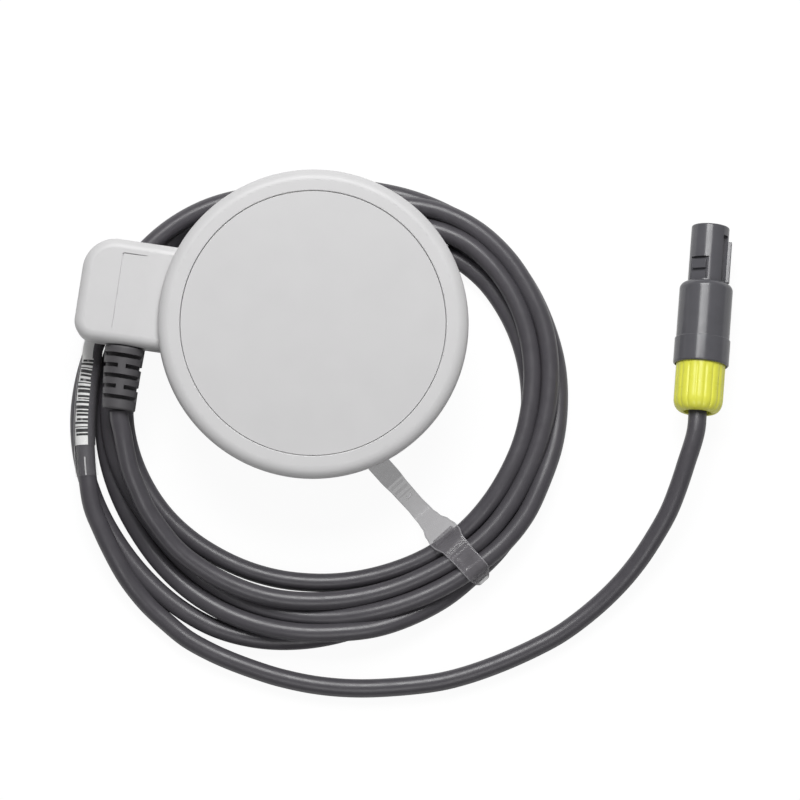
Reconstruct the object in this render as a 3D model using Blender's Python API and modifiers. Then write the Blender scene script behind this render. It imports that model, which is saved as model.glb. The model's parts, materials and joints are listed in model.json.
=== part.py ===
"""Fetal monitor transducer: a round ultrasound probe with a cable housing at its side,
the coiled lead and a push-pull plug. Metres, +Z up. The probe stands on its belt stud,
contact face up, with the origin at the centre of the stud's end and the housing at -X."""

import math

import bmesh
import bpy
from mathutils import Matrix, Vector

# Fits
CLEAR = 0.0003

# Casing
DISC_RADIUS = 0.0400
DISC_THICKNESS = 0.0180
DISC_DRAFT = 0.0006
WALL = 0.0020
FRONT_EDGE_RADIUS = 0.0030
BACK_EDGE_RADIUS = 0.0036
REAR_SHELL_DEPTH = 0.0070
ROUND_STEPS = 52
SMOOTH_ANGLE = 32.0

# Contact window and what lies behind it
WINDOW_RADIUS = 0.0341
WINDOW_THICKNESS = 0.0016
WINDOW_RECESS = 0.0002
LEDGE_MARGIN = 0.0004
LEDGE_THICKNESS = 0.0024
CRYSTAL_RADIUS = 0.0060
CRYSTAL_THICKNESS = 0.0016
CRYSTAL_EDGE = 0.0070
OUTER_CRYSTALS = 6
CARRIER_THICKNESS = 0.0021
FOAM_THICKNESS = 0.0015

# Cable housing at the side, the tab
TAB_LENGTH = 0.0212
TAB_WIDTH = 0.0270
TAB_SHIFT = 0.0013
TAB_DROP = 0.0045
TAB_LIFT = 0.0005
TAB_EDGE_RADIUS = 0.0026
TAB_FAR_CORNER = 0.0085
TAB_NEAR_CORNER = 0.0050
TAB_ROOT_FILLET = 0.0050
LABEL_PANEL_DEPTH = 0.0003
LABEL_PANEL_INSET = 0.0100
LABEL_PANEL_MARGIN = 0.0036
LABEL_PANEL_GAP = 0.0005

# Belt stud, the foot that the probe stands on
STUD_HEIGHT = 0.0110
STUD_HEAD_RADIUS = 0.0120
STUD_HEAD_HEIGHT = 0.0036
STUD_HEAD_EDGE = 0.0012
STUD_NECK_RADIUS = 0.0060

# Screws
SHELL_SCREW_RADIUS = 0.0011
SHELL_SCREW_HEAD = 0.0020
SHELL_SCREW_BOSS = 0.0024
SINK_WALL = 0.0006
SHELL_SCREW_ANGLES = (40.0, 140.0, 220.0, 320.0)
STUD_SCREW_RADIUS = 0.0016
STUD_SCREW_HEAD = 0.0032
SMALL_SCREW_RADIUS = 0.0009
SMALL_SCREW_HEAD = 0.0017
SCREW_HEAD_HEIGHT = 0.0012
SMALL_HEAD_HEIGHT = 0.0009
SCREW_STEPS = 10

# Seal and electronics
SEAL_THICKNESS = 0.0011
BOARD_RADIUS = 0.0270
BOARD_THICKNESS = 0.0012
BOARD_LIFT = 0.0032
BOARD_SCREW_CIRCLE = 0.0215
BOARD_SCREW_ANGLES = (90.0, 210.0, 330.0)
PILLAR_RADIUS = 0.0022
SHIELD_SIZE = (0.0220, 0.0180, 0.0030)
SHIELD_WALL = 0.0006
CHIP_SIZE = (0.0070, 0.0070, 0.0011)
HEADER_SIZE = (0.0040, 0.0100, 0.0032)
HEADER_CENTRE_X = -0.0185

# Strain relief and what holds the cable in the tab
CABLE_DIAMETER = 0.0048
RELIEF_FROM_END = 0.0138
RELIEF_LENGTH = 0.0163
RELIEF_ROOT_RADIUS = 0.0050
RELIEF_END_RADIUS = 0.0043
RELIEF_END_EDGE = 0.0005
RELIEF_NECK_RADIUS = 0.0034
RELIEF_FLANGE_RADIUS = 0.0041
RELIEF_FLANGE_THICKNESS = 0.0018
RELIEF_CORE_RADIUS = 0.0031
RELIEF_SLOTS = 5
RELIEF_SLOT_WIDTH = 0.0010
RELIEF_SLOT_PITCH = 0.0027
RELIEF_FIRST_SLOT = 0.0024
RELIEF_BRIDGE = 0.0020
INNER_LEAD_RADIUS = 0.0012
INNER_LEAD_BEND = 0.0030
INNER_LEAD_SWING = 0.0050
INNER_LEAD_RUN = 0.0110
INNER_LEAD_STRAIGHT = 0.0085
INNER_LEAD_STEP = 0.0040
CLAMP_LENGTH = 0.0135
CLAMP_WIDTH = 0.0034
CLAMP_THICKNESS = 0.0011
CLAMP_SETBACK = 0.0050
CLAMP_SCREW_SPACING = 0.0092

# Coil of the lead, laid flat beside and under the probe
COIL_CENTRE = (0.0060, -0.0205)
COIL_OUTER_RADIUS = 0.0600
COIL_INNER_RADIUS = 0.0440
COIL_HEIGHT = 0.0080
COIL_CORNER = 0.0022
COIL_STEPS = 44

# Label and its clear sleeve, on the tail
PATH_STEP = 0.0060
LABEL_START = 4
LABEL_END = 9
SLEEVE_END = 10
LABEL_GAP = 0.00015
LABEL_WALL = 0.00015
SLEEVE_WALL = 0.00020

# Clear strap round the coil
STRAP_ANGLE = -36.0
STRAP_THICKNESS = 0.0007
STRAP_BAND_WIDTH = 0.0060
STRAP_HEAD_WIDTH = 0.0085
STRAP_TAIL_WIDTH = 0.0052
STRAP_TAIL_LENGTH = 0.0340
STRAP_HEAD_REACH = 0.0065
STRAP_RIDGES = 4
STRAP_RIDGE_PITCH = 0.0016
STRAP_RIDGE_HEIGHT = 0.0004

# Plug, measured along its axis from the nose
PLUG_TIP = (0.0983, 0.0428)
PLUG_HEADING = -86.2
PLUG_LENGTH = 0.0500
NOSE_RADIUS = 0.00495
NOSE_BORE_RADIUS = 0.0038
NOSE_EDGE = 0.0004
NOSE_REACH = 0.0150
SLEEVE_LENGTH = 0.0224
SLEEVE_FRONT_RADIUS = 0.00695
COLLAR_RADIUS = 0.0073
COLLAR_LENGTH = 0.0078
SLEEVE_FRONT_ROUND = 0.0018
SLEEVE_LIP = 0.0025
SLEEVE_TRAVEL = 0.0012
INNER_BODY_RADIUS = 0.0057
NUT_RADIUS = 0.00645
NUT_END_RADIUS = 0.0042
NUT_ROUND = 0.0038
NUT_HOLE_RADIUS = 0.0036
NUT_INSERTED = 0.0045
NUT_FLUTES = 12
FLUTE_DEPTH = 0.00022
COLLET_RADIUS = 0.0047
COLLET_NOSE_RADIUS = 0.0030
COLLET_BORE_RADIUS = 0.0016
CABLE_IN_NUT = 0.0020
INSERT_SETBACK = 0.0075
PIN_RADIUS = 0.00045
PIN_CIRCLE = 0.0023
PIN_COUNT = 6
PIN_REACH = 0.0026
WINDOW_ANGLE = -38.0
WINDOW_WIDTH = 0.0052
WINDOW_START = 0.0092
LATCH_DEPTH = 0.0008
LATCH_GAP = 0.00075
LATCH_LENGTH = 0.0025
KEY_ANGLE = 84.0
KEY_WIDTH = 0.0016
KEY_HEIGHT = 0.0009
KEY_START = 0.0042
KEYWAY_ANGLE = 56.0
KEYWAY_WIDTH = 0.0022
KEYWAY_START = 0.0029
PLUG_STEPS = 24

# Places worked out from the sizes
BACK_Z = STUD_HEIGHT
FACE_Z = BACK_Z + DISC_THICKNESS
SPLIT_Z = BACK_Z + REAR_SHELL_DEPTH
FLOOR_Z = BACK_Z + WALL
TAB_END_X = -(DISC_RADIUS + TAB_LENGTH)
TAB_TOP_Z = FACE_Z - TAB_DROP
TAB_BOTTOM_Z = BACK_Z + TAB_LIFT
LEDGE_TOP_Z = FACE_Z - WINDOW_RECESS - WINDOW_THICKNESS - CLEAR
LEDGE_BOTTOM_Z = LEDGE_TOP_Z - LEDGE_THICKNESS
CAVITY_RADIUS = DISC_RADIUS - DISC_DRAFT - WALL
REAR_BOSS_RADIUS = SHELL_SCREW_HEAD + CLEAR + SINK_WALL
SCREW_CIRCLE = CAVITY_RADIUS - SEAL_THICKNESS - 2 * CLEAR - REAR_BOSS_RADIUS
LEDGE_RADIUS = SCREW_CIRCLE - SHELL_SCREW_BOSS - LEDGE_MARGIN
TAB_NEAR_Y = TAB_SHIFT - TAB_WIDTH / 2
TAB_FAR_Y = TAB_SHIFT + TAB_WIDTH / 2
RELIEF_X = TAB_END_X + RELIEF_FROM_END
RELIEF_ROOT_Y = TAB_NEAR_Y - CLEAR
BOARD_Z = FLOOR_Z + BOARD_LIFT + CLEAR
BOARD_TOP_Z = BOARD_Z + BOARD_THICKNESS
CLAMP_Y = TAB_NEAR_Y + WALL + RELIEF_FLANGE_THICKNESS + CLAMP_SETBACK
CLAMP_Z = SPLIT_Z + INNER_LEAD_RADIUS + CLEAR
COIL_BOTTOM_Z = STRAP_THICKNESS + 2 * CLEAR
COIL_TOP_Z = COIL_BOTTOM_Z + COIL_HEIGHT
CABLE_RADIUS = CABLE_DIAMETER / 2
NUT_START = NOSE_REACH + SLEEVE_LENGTH - NUT_INSERTED
SLEEVE_REAR_BORE = NUT_RADIUS + CLEAR
SLEEVE_MID_BORE = INNER_BODY_RADIUS + CLEAR
SLEEVE_FRONT_BORE = NOSE_RADIUS + CLEAR
SHOULDER = NOSE_REACH + SLEEVE_LIP + SLEEVE_TRAVEL + CLEAR
BORE_STEP = NUT_START - SLEEVE_TRAVEL - 2 * CLEAR

# The plug rests on its nose and on the front edge of its sleeve
PLUG_TILT = math.atan2(SLEEVE_FRONT_RADIUS - NOSE_RADIUS, NOSE_REACH + SLEEVE_FRONT_ROUND - NOSE_EDGE)

# The tail of the lead, from the coil past the label and round to the plug: x, y, z
TAIL_ROUTE = (
    (-0.0475, 0.0122, 0.0070),
    (-0.0526, 0.0050, 0.0073),
    (-0.0565, -0.0029, 0.0076),
    (-0.0583, -0.0111, 0.0077),
    (-0.0581, -0.0200, 0.0077),
    (-0.0571, -0.0290, 0.0077),
    (-0.0555, -0.0380, 0.0076),
    (-0.0520, -0.0472, 0.0070),
    (-0.0472, -0.0590, 0.0052),
    (-0.0388, -0.0703, 0.0034),
    (-0.0232, -0.0812, 0.0026),
    (-0.0040, -0.0880, 0.0026),
    (0.0150, -0.0903, 0.0026),
    (0.0330, -0.0892, 0.0026),
    (0.0510, -0.0832, 0.0027),
    (0.0690, -0.0729, 0.0031),
    (0.0838, -0.0582, 0.0050),
    (0.0950, -0.0405, 0.0085),
)

# The lead, from the strain relief down onto the coil: x, y, height above lying on the coil
LEAD_ROUTE = (
    (-0.0466, -0.0360, 0.0050),
    (-0.0444, -0.0430, 0.0030),
    (-0.0405, -0.0510, 0.0011),
    (-0.0355, -0.0580, 0.0001),
    (-0.0290, -0.0645, 0.0000),
    (-0.0220, -0.0700, 0.0000),
)

for old in list(bpy.data.objects):
    bpy.data.objects.remove(old, do_unlink=True)

PARTS = bpy.data.collections.new("fetal_monitor_transducer")
CUTTERS = bpy.data.collections.new("cutters")
bpy.context.scene.collection.children.link(PARTS)
bpy.context.scene.collection.children.link(CUTTERS)


def material(name, colour, roughness, metallic=0.0, alpha=1.0):
    """A Principled material of one colour."""
    made = bpy.data.materials.new(name)
    made.use_nodes = True
    shader = made.node_tree.nodes["Principled BSDF"]
    shader.inputs["Base Color"].default_value = (*colour, 1.0)
    shader.inputs["Roughness"].default_value = roughness
    shader.inputs["Metallic"].default_value = metallic
    shader.inputs["Alpha"].default_value = alpha
    made.diffuse_color = (*colour, alpha)
    return made


CASING_GREY = (0.66, 0.66, 0.67)
CABLE_GREY = (0.10, 0.10, 0.105)
PLUG_GREY = (0.13, 0.13, 0.14)
NUT_YELLOW = (0.74, 0.80, 0.08)
STEEL = (0.55, 0.55, 0.56)
GOLD = (0.83, 0.62, 0.22)


def add(mesh, name, finish=None, cutter=False):
    """Puts a mesh in the scene, as a part or as a cutter."""
    made = bpy.data.objects.new(name, mesh)
    if cutter:
        CUTTERS.objects.link(made)
        made.hide_render = True
        made.display_type = "WIRE"
    else:
        PARTS.objects.link(made)
    if finish:
        mesh.materials.append(finish)
    return made


def from_bmesh(bm, name, finish=None, cutter=False):
    bmesh.ops.recalc_face_normals(bm, faces=bm.faces)
    mesh = bpy.data.meshes.new(name)
    bm.to_mesh(mesh)
    bm.free()
    return add(mesh, name, finish, cutter)


def arc(cx, cy, radius, start, end, steps):
    """Points on an arc, its angles in degrees."""
    turn = [math.radians(start + (end - start) * k / steps) for k in range(steps + 1)]
    return [(cx + radius * math.cos(a), cy + radius * math.sin(a)) for a in turn]


def signed_area(points):
    following = points[1:] + points[:1]
    return sum(a[0] * b[1] - b[0] * a[1] for a, b in zip(points, following)) / 2


def turned(name, profile, finish=None, steps=ROUND_STEPS, cutter=False):
    """Turns a closed profile of (radius, height) about Z. Ends on the axis stay open."""
    points = list(profile)
    if signed_area(points) > 0:
        points.reverse()
    on_axis = [k for k, p in enumerate(points) if p[0] < 1e-9]
    if on_axis:
        first = max(on_axis) if on_axis[-1] - on_axis[0] == 1 else 0
        points = points[first:] + points[:first]
    mesh = bpy.data.meshes.new(name)
    edges = [(k, k + 1) for k in range(len(points) - 1)]
    if not on_axis:
        edges.append((len(points) - 1, 0))
    mesh.from_pydata([(r, 0.0, z) for r, z in points], edges, [])
    made = add(mesh, name, finish, cutter)
    screw = made.modifiers.new("Turn", "SCREW")
    screw.axis = "Z"
    screw.steps = steps
    screw.render_steps = steps
    screw.use_merge_vertices = True
    screw.merge_threshold = 0.000001
    screw.use_smooth_shade = False
    return made


def prism(name, outline, low, high, finish=None, cutter=False):
    """A flat outline made solid between two heights, by way of a filled curve."""
    curve = bpy.data.curves.new(name, "CURVE")
    curve.dimensions = "2D"
    curve.fill_mode = "BOTH"
    curve.extrude = (high - low) / 2
    spline = curve.splines.new("POLY")
    spline.points.add(len(outline) - 1)
    for point, (x, y) in zip(spline.points, outline):
        point.co = (x, y, 0.0, 1.0)
    spline.use_cyclic_u = True
    holder = bpy.data.objects.new(name + "_curve", curve)
    PARTS.objects.link(holder)
    made = to_solid(holder, name, finish, cutter)
    made.data.transform(Matrix.Translation((0.0, 0.0, (low + high) / 2)))
    bm = bmesh.new()
    bm.from_mesh(made.data)
    bmesh.ops.dissolve_limit(bm, angle_limit=math.radians(0.5), verts=bm.verts, edges=bm.edges)
    bm.to_mesh(made.data)
    bm.free()
    return made


def to_solid(holder, name, finish=None, cutter=False):
    """Makes a curve object a closed mesh and removes the curve."""
    bpy.context.view_layer.update()
    seen = holder.evaluated_get(bpy.context.evaluated_depsgraph_get())
    mesh = bpy.data.meshes.new_from_object(seen)
    bm = bmesh.new()
    bm.from_mesh(mesh)
    bmesh.ops.remove_doubles(bm, verts=bm.verts, dist=0.000001)
    bpy.data.meshes.remove(mesh)
    made = from_bmesh(bm, name, finish, cutter)
    made.matrix_world = holder.matrix_world
    bpy.data.objects.remove(holder, do_unlink=True)
    return made


def tube(name, path, radius, finish, resolution=2, caps=True):
    """A round cord along a path of points."""
    curve = bpy.data.curves.new(name, "CURVE")
    curve.dimensions = "3D"
    curve.bevel_depth = radius
    curve.bevel_resolution = resolution
    curve.use_fill_caps = caps
    spline = curve.splines.new("POLY")
    spline.points.add(len(path) - 1)
    for point, place in zip(spline.points, path):
        point.co = (*place, 1.0)
    holder = bpy.data.objects.new(name + "_curve", curve)
    PARTS.objects.link(holder)
    return to_solid(holder, name, finish)


def cylinders(name, places, radius, low, high, sides=16, cutter=True, finish=None):
    """Upright cylinders, all in one object."""
    bm = bmesh.new()
    for x, y in places:
        bmesh.ops.create_cone(
            bm,
            cap_ends=True,
            segments=sides,
            radius1=radius,
            radius2=radius,
            depth=high - low,
            matrix=Matrix.Translation((x, y, (low + high) / 2)),
        )
    return from_bmesh(bm, name, finish, cutter)


def boxes(name, list_of_boxes, cutter=True, finish=None, frame=None):
    """Boxes, each (low corner, high corner, frame or None), all in one object."""
    bm = bmesh.new()
    for low, high, place in list_of_boxes:
        size = Vector(high) - Vector(low)
        middle = (Vector(high) + Vector(low)) / 2
        fit = Matrix.Translation(middle) @ Matrix.Diagonal((*size, 1.0))
        bmesh.ops.create_cube(bm, size=1.0, matrix=(place or Matrix.Identity(4)) @ fit)
    return from_bmesh(bm, name, finish, cutter)


def boolean(target, other, operation):
    """Cuts, joins or keeps with another object."""
    step = target.modifiers.new(operation.title(), "BOOLEAN")
    step.operation = operation
    step.solver = "EXACT"
    step.object = other


def bevel(target, width, segments=2, angle=40.0):
    step = target.modifiers.new("Edges", "BEVEL")
    step.width = width
    step.segments = segments
    step.use_clamp_overlap = False
    step.limit_method = "ANGLE"
    step.angle_limit = math.radians(angle)


def smooth_path(route, step):
    """Points every step along the smooth curve through a route's own points."""
    points = [Vector(p) for p in route]
    ends = [2 * points[0] - points[1], *points, 2 * points[-1] - points[-2]]
    fine = []
    for k in range(1, len(ends) - 2):
        a, b, c, d = ends[k - 1 : k + 3]
        for j in range(24):
            t = j / 24
            fine.append(
                0.5
                * (
                    2 * b
                    + (c - a) * t
                    + (2 * a - 5 * b + 4 * c - d) * t * t
                    + (3 * b - a - 3 * c + d) * t**3
                )
            )
    fine.append(points[-1])
    runs = [0.0]
    for a, b in zip(fine, fine[1:]):
        runs.append(runs[-1] + (b - a).length)
    count = max(2, round(runs[-1] / step))
    path, k = [], 0
    for n in range(count + 1):
        want = runs[-1] * n / count
        while k < len(runs) - 2 and runs[k + 1] < want:
            k += 1
        share = (want - runs[k]) / (runs[k + 1] - runs[k])
        path.append(fine[k].lerp(fine[k + 1], share))
    return path


# Casing

def tab_outline(inset, root_x):
    """Plan of the tab, drawn in by inset, from its root round the two outer corners."""
    near_y = TAB_NEAR_Y + inset
    far_y = TAB_FAR_Y - inset
    end = TAB_END_X + inset
    near = TAB_NEAR_CORNER - inset
    far = TAB_FAR_CORNER - inset
    points = arc(end + near, near_y + near, near, 270.0, 180.0, 5)
    points += arc(end + far, far_y - far, far, 180.0, 90.0, 7)
    return [(root_x, near_y), *points, (root_x, far_y)]


def root_fillet():
    """Block whose hollow side runs from the tab's far edge into the disc's."""
    fillet = TAB_ROOT_FILLET
    side = TAB_FAR_Y
    reach = DISC_RADIUS - DISC_DRAFT + fillet
    centre_x = -math.sqrt(reach**2 - (side + fillet) ** 2)
    towards = math.degrees(math.atan2(-(side + fillet), -centre_x))
    outline = arc(centre_x, side + fillet, fillet, -90.0, towards, 4)
    end_x, end_y = outline[-1]
    inner_x = end_x + WALL
    outline += [(inner_x, end_y - WALL / 2), (inner_x, side - WALL), (centre_x, side - WALL / 2)]
    return prism("root_fillet", outline, TAB_BOTTOM_Z + TAB_EDGE_RADIUS, SPLIT_Z + WALL, cutter=True)


def screw_places(circle, angles):
    return [(circle * math.cos(math.radians(a)), circle * math.sin(math.radians(a))) for a in angles]


def relief_frame(y):
    """Frame whose Z runs along the strain relief, away from the tab, from a place on its axis."""
    return Matrix.Translation((RELIEF_X, y, SPLIT_Z)) @ Matrix.Rotation(math.radians(90.0), 4, "X")


def along_relief(name, radius, start_y, end_y, sides=24):
    """A round cutter on the strain relief's axis."""
    bm = bmesh.new()
    middle = relief_frame((start_y + end_y) / 2)
    bmesh.ops.create_cone(
        bm,
        cap_ends=True,
        segments=sides,
        radius1=radius,
        radius2=radius,
        depth=abs(end_y - start_y),
        matrix=middle,
    )
    return from_bmesh(bm, name, cutter=True)


def outer_profile():
    """Outside of the closed casing, from the contact side down to the back."""
    side = DISC_RADIUS
    foot = DISC_RADIUS - 2 * DISC_DRAFT
    front = arc(side - FRONT_EDGE_RADIUS, FACE_Z - FRONT_EDGE_RADIUS, FRONT_EDGE_RADIUS, 90.0, 0.0, 4)
    back = arc(foot - BACK_EDGE_RADIUS, BACK_Z + BACK_EDGE_RADIUS, BACK_EDGE_RADIUS, 0.0, -90.0, 4)
    return [(0.0, FACE_Z), *front, (side - DISC_DRAFT, SPLIT_Z), *back, (0.0, BACK_Z)]


def tab_solid(name):
    made = prism(name, tab_outline(0.0, -DISC_RADIUS * 0.8), TAB_BOTTOM_Z, TAB_TOP_Z, cutter=True)
    bevel(made, TAB_EDGE_RADIUS, 3)
    return made


def tab_cavity():
    return prism(
        "tab_cavity",
        tab_outline(WALL, -DISC_RADIUS * 0.85),
        TAB_BOTTOM_Z + WALL,
        TAB_TOP_Z - WALL,
        cutter=True,
    )


def front_shell(finish):
    """Rim, ledge for the window, upper half of the tab and four screw bosses."""
    made = turned("front_shell", outer_profile(), finish)
    boolean(made, tab_solid("front_tab"), "UNION")
    rim_radius = WINDOW_RADIUS + CLEAR
    hollow = [
        (0.0, FACE_Z + WALL),
        (rim_radius, FACE_Z + WALL),
        (rim_radius, LEDGE_TOP_Z),
        (LEDGE_RADIUS, LEDGE_TOP_Z),
        (LEDGE_RADIUS, LEDGE_BOTTOM_Z),
        (CAVITY_RADIUS, LEDGE_BOTTOM_Z),
        (CAVITY_RADIUS, SPLIT_Z - WALL),
        (0.0, SPLIT_Z - WALL),
    ]
    boolean(made, turned("front_hollow", hollow, cutter=True), "DIFFERENCE")
    boolean(made, tab_cavity(), "DIFFERENCE")
    places = screw_places(SCREW_CIRCLE, SHELL_SCREW_ANGLES)
    top = LEDGE_BOTTOM_Z + WALL / 2
    posts = cylinders("front_bosses", places, SHELL_SCREW_BOSS, SPLIT_Z - WALL, top)
    boolean(made, posts, "UNION")
    hole = SHELL_SCREW_RADIUS + CLEAR
    drill = cylinders("front_drill", places, hole, SPLIT_Z - 2 * WALL, LEDGE_BOTTOM_Z - CLEAR, 12)
    boolean(made, drill, "DIFFERENCE")
    boolean(made, relief_hole(), "DIFFERENCE")
    margin = LABEL_PANEL_MARGIN
    low = (TAB_END_X + LABEL_PANEL_INSET, TAB_NEAR_Y + margin, TAB_TOP_Z - LABEL_PANEL_DEPTH)
    high = (-DISC_RADIUS - LABEL_PANEL_GAP, TAB_FAR_Y - margin, TAB_TOP_Z + WALL)
    boolean(made, boxes("label_panel", [(low, high, None)]), "DIFFERENCE")
    boolean(made, slab("below_split", BACK_Z - WALL, SPLIT_Z + CLEAR / 2), "DIFFERENCE")
    return made


def slab(name, low, high):
    """A block wide enough to cover the casing, for trimming at a height."""
    reach = DISC_RADIUS + TAB_LENGTH + WALL
    return boxes(name, [((-reach, -reach, low), (reach, reach, high), None)])


def relief_hole():
    radius = RELIEF_NECK_RADIUS + CLEAR
    return along_relief("relief_hole", radius, TAB_NEAR_Y - WALL, TAB_NEAR_Y + 2 * WALL)


def rear_shell(finish):
    """Back wall, lower half of the tab, screw bosses, board pillars and clamp posts."""
    made = turned("rear_shell", outer_profile(), finish)
    boolean(made, tab_solid("rear_tab"), "UNION")
    boolean(made, root_fillet(), "UNION")
    inside = CAVITY_RADIUS
    edge = BACK_EDGE_RADIUS - WALL / 2
    corner = arc(inside - edge, FLOOR_Z + edge, edge, 0.0, -90.0, 3)
    hollow = [(0.0, FACE_Z - WALL), (inside, FACE_Z - WALL), *corner, (0.0, FLOOR_Z)]
    boolean(made, turned("rear_hollow", hollow, cutter=True), "DIFFERENCE")
    boolean(made, tab_cavity(), "DIFFERENCE")
    places = screw_places(SCREW_CIRCLE, SHELL_SCREW_ANGLES)
    posts = cylinders("rear_bosses", places, REAR_BOSS_RADIUS, FLOOR_Z - WALL / 2, SPLIT_Z + WALL)
    boolean(made, posts, "UNION")
    board_places = screw_places(BOARD_SCREW_CIRCLE, BOARD_SCREW_ANGLES)
    low = FLOOR_Z - WALL / 2
    pillars = cylinders("pillars", board_places, PILLAR_RADIUS, low, FLOOR_Z + BOARD_LIFT)
    boolean(made, pillars, "UNION")
    hole = SHELL_SCREW_RADIUS + CLEAR
    drill = cylinders("rear_drill", places, hole, BACK_Z - WALL, SPLIT_Z + 2 * WALL, 12)
    boolean(made, drill, "DIFFERENCE")
    sink = cylinders(
        "rear_sink", places, SHELL_SCREW_HEAD + CLEAR, BACK_Z - WALL, shell_screw_seat(), 16
    )
    boolean(made, sink, "DIFFERENCE")
    hole = SMALL_SCREW_RADIUS + CLEAR
    small = cylinders("pillar_drill", board_places, hole, FLOOR_Z + CLEAR, FLOOR_Z + 2 * BOARD_LIFT, 10)
    boolean(made, small, "DIFFERENCE")
    stud_hole = cylinders(
        "stud_hole", [(0.0, 0.0)], STUD_SCREW_RADIUS + CLEAR, BACK_Z - WALL, FLOOR_Z + WALL, 12
    )
    boolean(made, stud_hole, "DIFFERENCE")
    boolean(made, slab("above_split", SPLIT_Z - CLEAR / 2, FACE_Z + WALL), "DIFFERENCE")
    boolean(made, relief_hole(), "DIFFERENCE")
    clamp_posts(made)
    return made


def shell_screw_seat():
    """Height of the seat under the heads of the shell screws."""
    return BACK_Z + SCREW_HEAD_HEIGHT + 2 * CLEAR


def clamp_places():
    half = CLAMP_SCREW_SPACING / 2
    return [(RELIEF_X - half, CLAMP_Y), (RELIEF_X + half, CLAMP_Y)]


def clamp_posts(shell):
    """Two posts in the tab that the cable clamp is screwed to."""
    top = CLAMP_Z - CLEAR
    low = TAB_BOTTOM_Z + WALL / 2
    boolean(shell, cylinders("clamp_posts", clamp_places(), PILLAR_RADIUS, low, top, 12), "UNION")
    hole = SMALL_SCREW_RADIUS + CLEAR
    drill = cylinders("clamp_drill", clamp_places(), hole, TAB_BOTTOM_Z + WALL, top + WALL, 10)
    boolean(shell, drill, "DIFFERENCE")


def screw(name, place, seat, length, radius, head_radius, height, direction, finish):
    """A screw whose head rests on a seat; its shank points up (1) or down (-1)."""
    head = seat - direction * (height + CLEAR)
    rest = seat - direction * CLEAR
    tip = seat + direction * length
    profile = [(0.0, head), (head_radius * 0.9, head), (head_radius, (head + rest) / 2)]
    profile += [(head_radius, rest), (radius, rest), (radius, tip - direction * radius / 2)]
    profile += [(radius / 2, tip), (0.0, tip)]
    made = turned(name, profile, finish, SCREW_STEPS)
    made.location = (*place, 0.0)
    return made


def small_screw(name, place, seat, length, finish):
    """A screw put in from above."""
    return screw(
        name, place, seat, length, SMALL_SCREW_RADIUS, SMALL_SCREW_HEAD, SMALL_HEAD_HEIGHT, -1, finish
    )


def face_plate(finish):
    top = FACE_Z - WINDOW_RECESS
    chamfer = WINDOW_RECESS
    profile = [
        (0.0, top),
        (WINDOW_RADIUS - chamfer, top),
        (WINDOW_RADIUS, top - chamfer),
        (WINDOW_RADIUS, top - WINDOW_THICKNESS),
        (0.0, top - WINDOW_THICKNESS),
    ]
    return turned("face_plate", profile, finish)


def belt_stud(finish):
    """Button on the back: a wide head that stands on the table, and a neck for the belt."""
    top = BACK_Z - CLEAR
    edge = STUD_HEAD_EDGE
    hole = STUD_SCREW_RADIUS + CLEAR
    head = arc(STUD_HEAD_RADIUS - edge, STUD_HEAD_HEIGHT - edge, edge, 90.0, 0.0, 3)
    head += arc(STUD_HEAD_RADIUS - edge, edge, edge, 0.0, -90.0, 3)
    flare = arc(STUD_NECK_RADIUS + edge, STUD_HEAD_HEIGHT + edge, edge, 180.0, 270.0, 3)
    profile = [(0.0, STUD_HEAD_HEIGHT), (hole, STUD_HEAD_HEIGHT), (hole, top)]
    profile += [(STUD_NECK_RADIUS, top), *flare, *head, (0.0, 0.0)]
    return turned("belt_stud", profile, finish, 28)


def seal_ring(finish):
    """Gasket along the inside of the casing's joint, from one side of the relief to the other."""
    inset = WALL + CLEAR + SEAL_THICKNESS / 2
    radius = CAVITY_RADIUS - CLEAR - SEAL_THICKNESS / 2
    near_y = TAB_NEAR_Y + inset
    far_y = TAB_FAR_Y - inset
    start = math.degrees(math.asin(far_y / radius))
    end = math.degrees(math.asin(-near_y / radius))
    beside = RELIEF_FLANGE_RADIUS + CLEAR
    outline = [(RELIEF_X - beside, near_y), *tab_outline(inset, 0.0)[1:-1]]
    outline += arc(0.0, 0.0, radius, 180.0 - start, -180.0 + end, 28)
    outline.append((RELIEF_X + beside, near_y))
    path = [(x, y, SPLIT_Z) for x, y in outline]
    return tube("seal_ring", path, SEAL_THICKNESS / 2, finish, 0)


# Behind the window

def crystal_places():
    circle = LEDGE_RADIUS - CLEAR - CRYSTAL_EDGE - CRYSTAL_RADIUS
    ring = [360.0 * k / OUTER_CRYSTALS for k in range(OUTER_CRYSTALS)]
    return [(0.0, 0.0), *screw_places(circle, ring)]


def crystals(carrier_finish, crystal_finish, foam_finish):
    """Seven piezo discs in their carrier, against the window, with foam behind."""
    top = LEDGE_TOP_Z - CLEAR
    radius = LEDGE_RADIUS - CLEAR
    bottom = top - CARRIER_THICKNESS
    plate = cylinders("crystal_carrier", [(0.0, 0.0)], radius, bottom, top, 48, False, carrier_finish)
    holes = cylinders(
        "crystal_holes", crystal_places(), CRYSTAL_RADIUS + CLEAR, bottom - WALL, top + WALL, 20
    )
    boolean(plate, holes, "DIFFERENCE")
    for k, place in enumerate(crystal_places()):
        name = f"crystal_{k + 1}"
        low = top - CRYSTAL_THICKNESS
        cylinders(name, [place], CRYSTAL_RADIUS, low, top, 20, False, crystal_finish)
    foam_top = bottom - CLEAR
    foam_bottom = foam_top - FOAM_THICKNESS
    cylinders("backing_foam", [(0.0, 0.0)], radius, foam_bottom, foam_top, 40, False, foam_finish)


# Electronics

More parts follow.
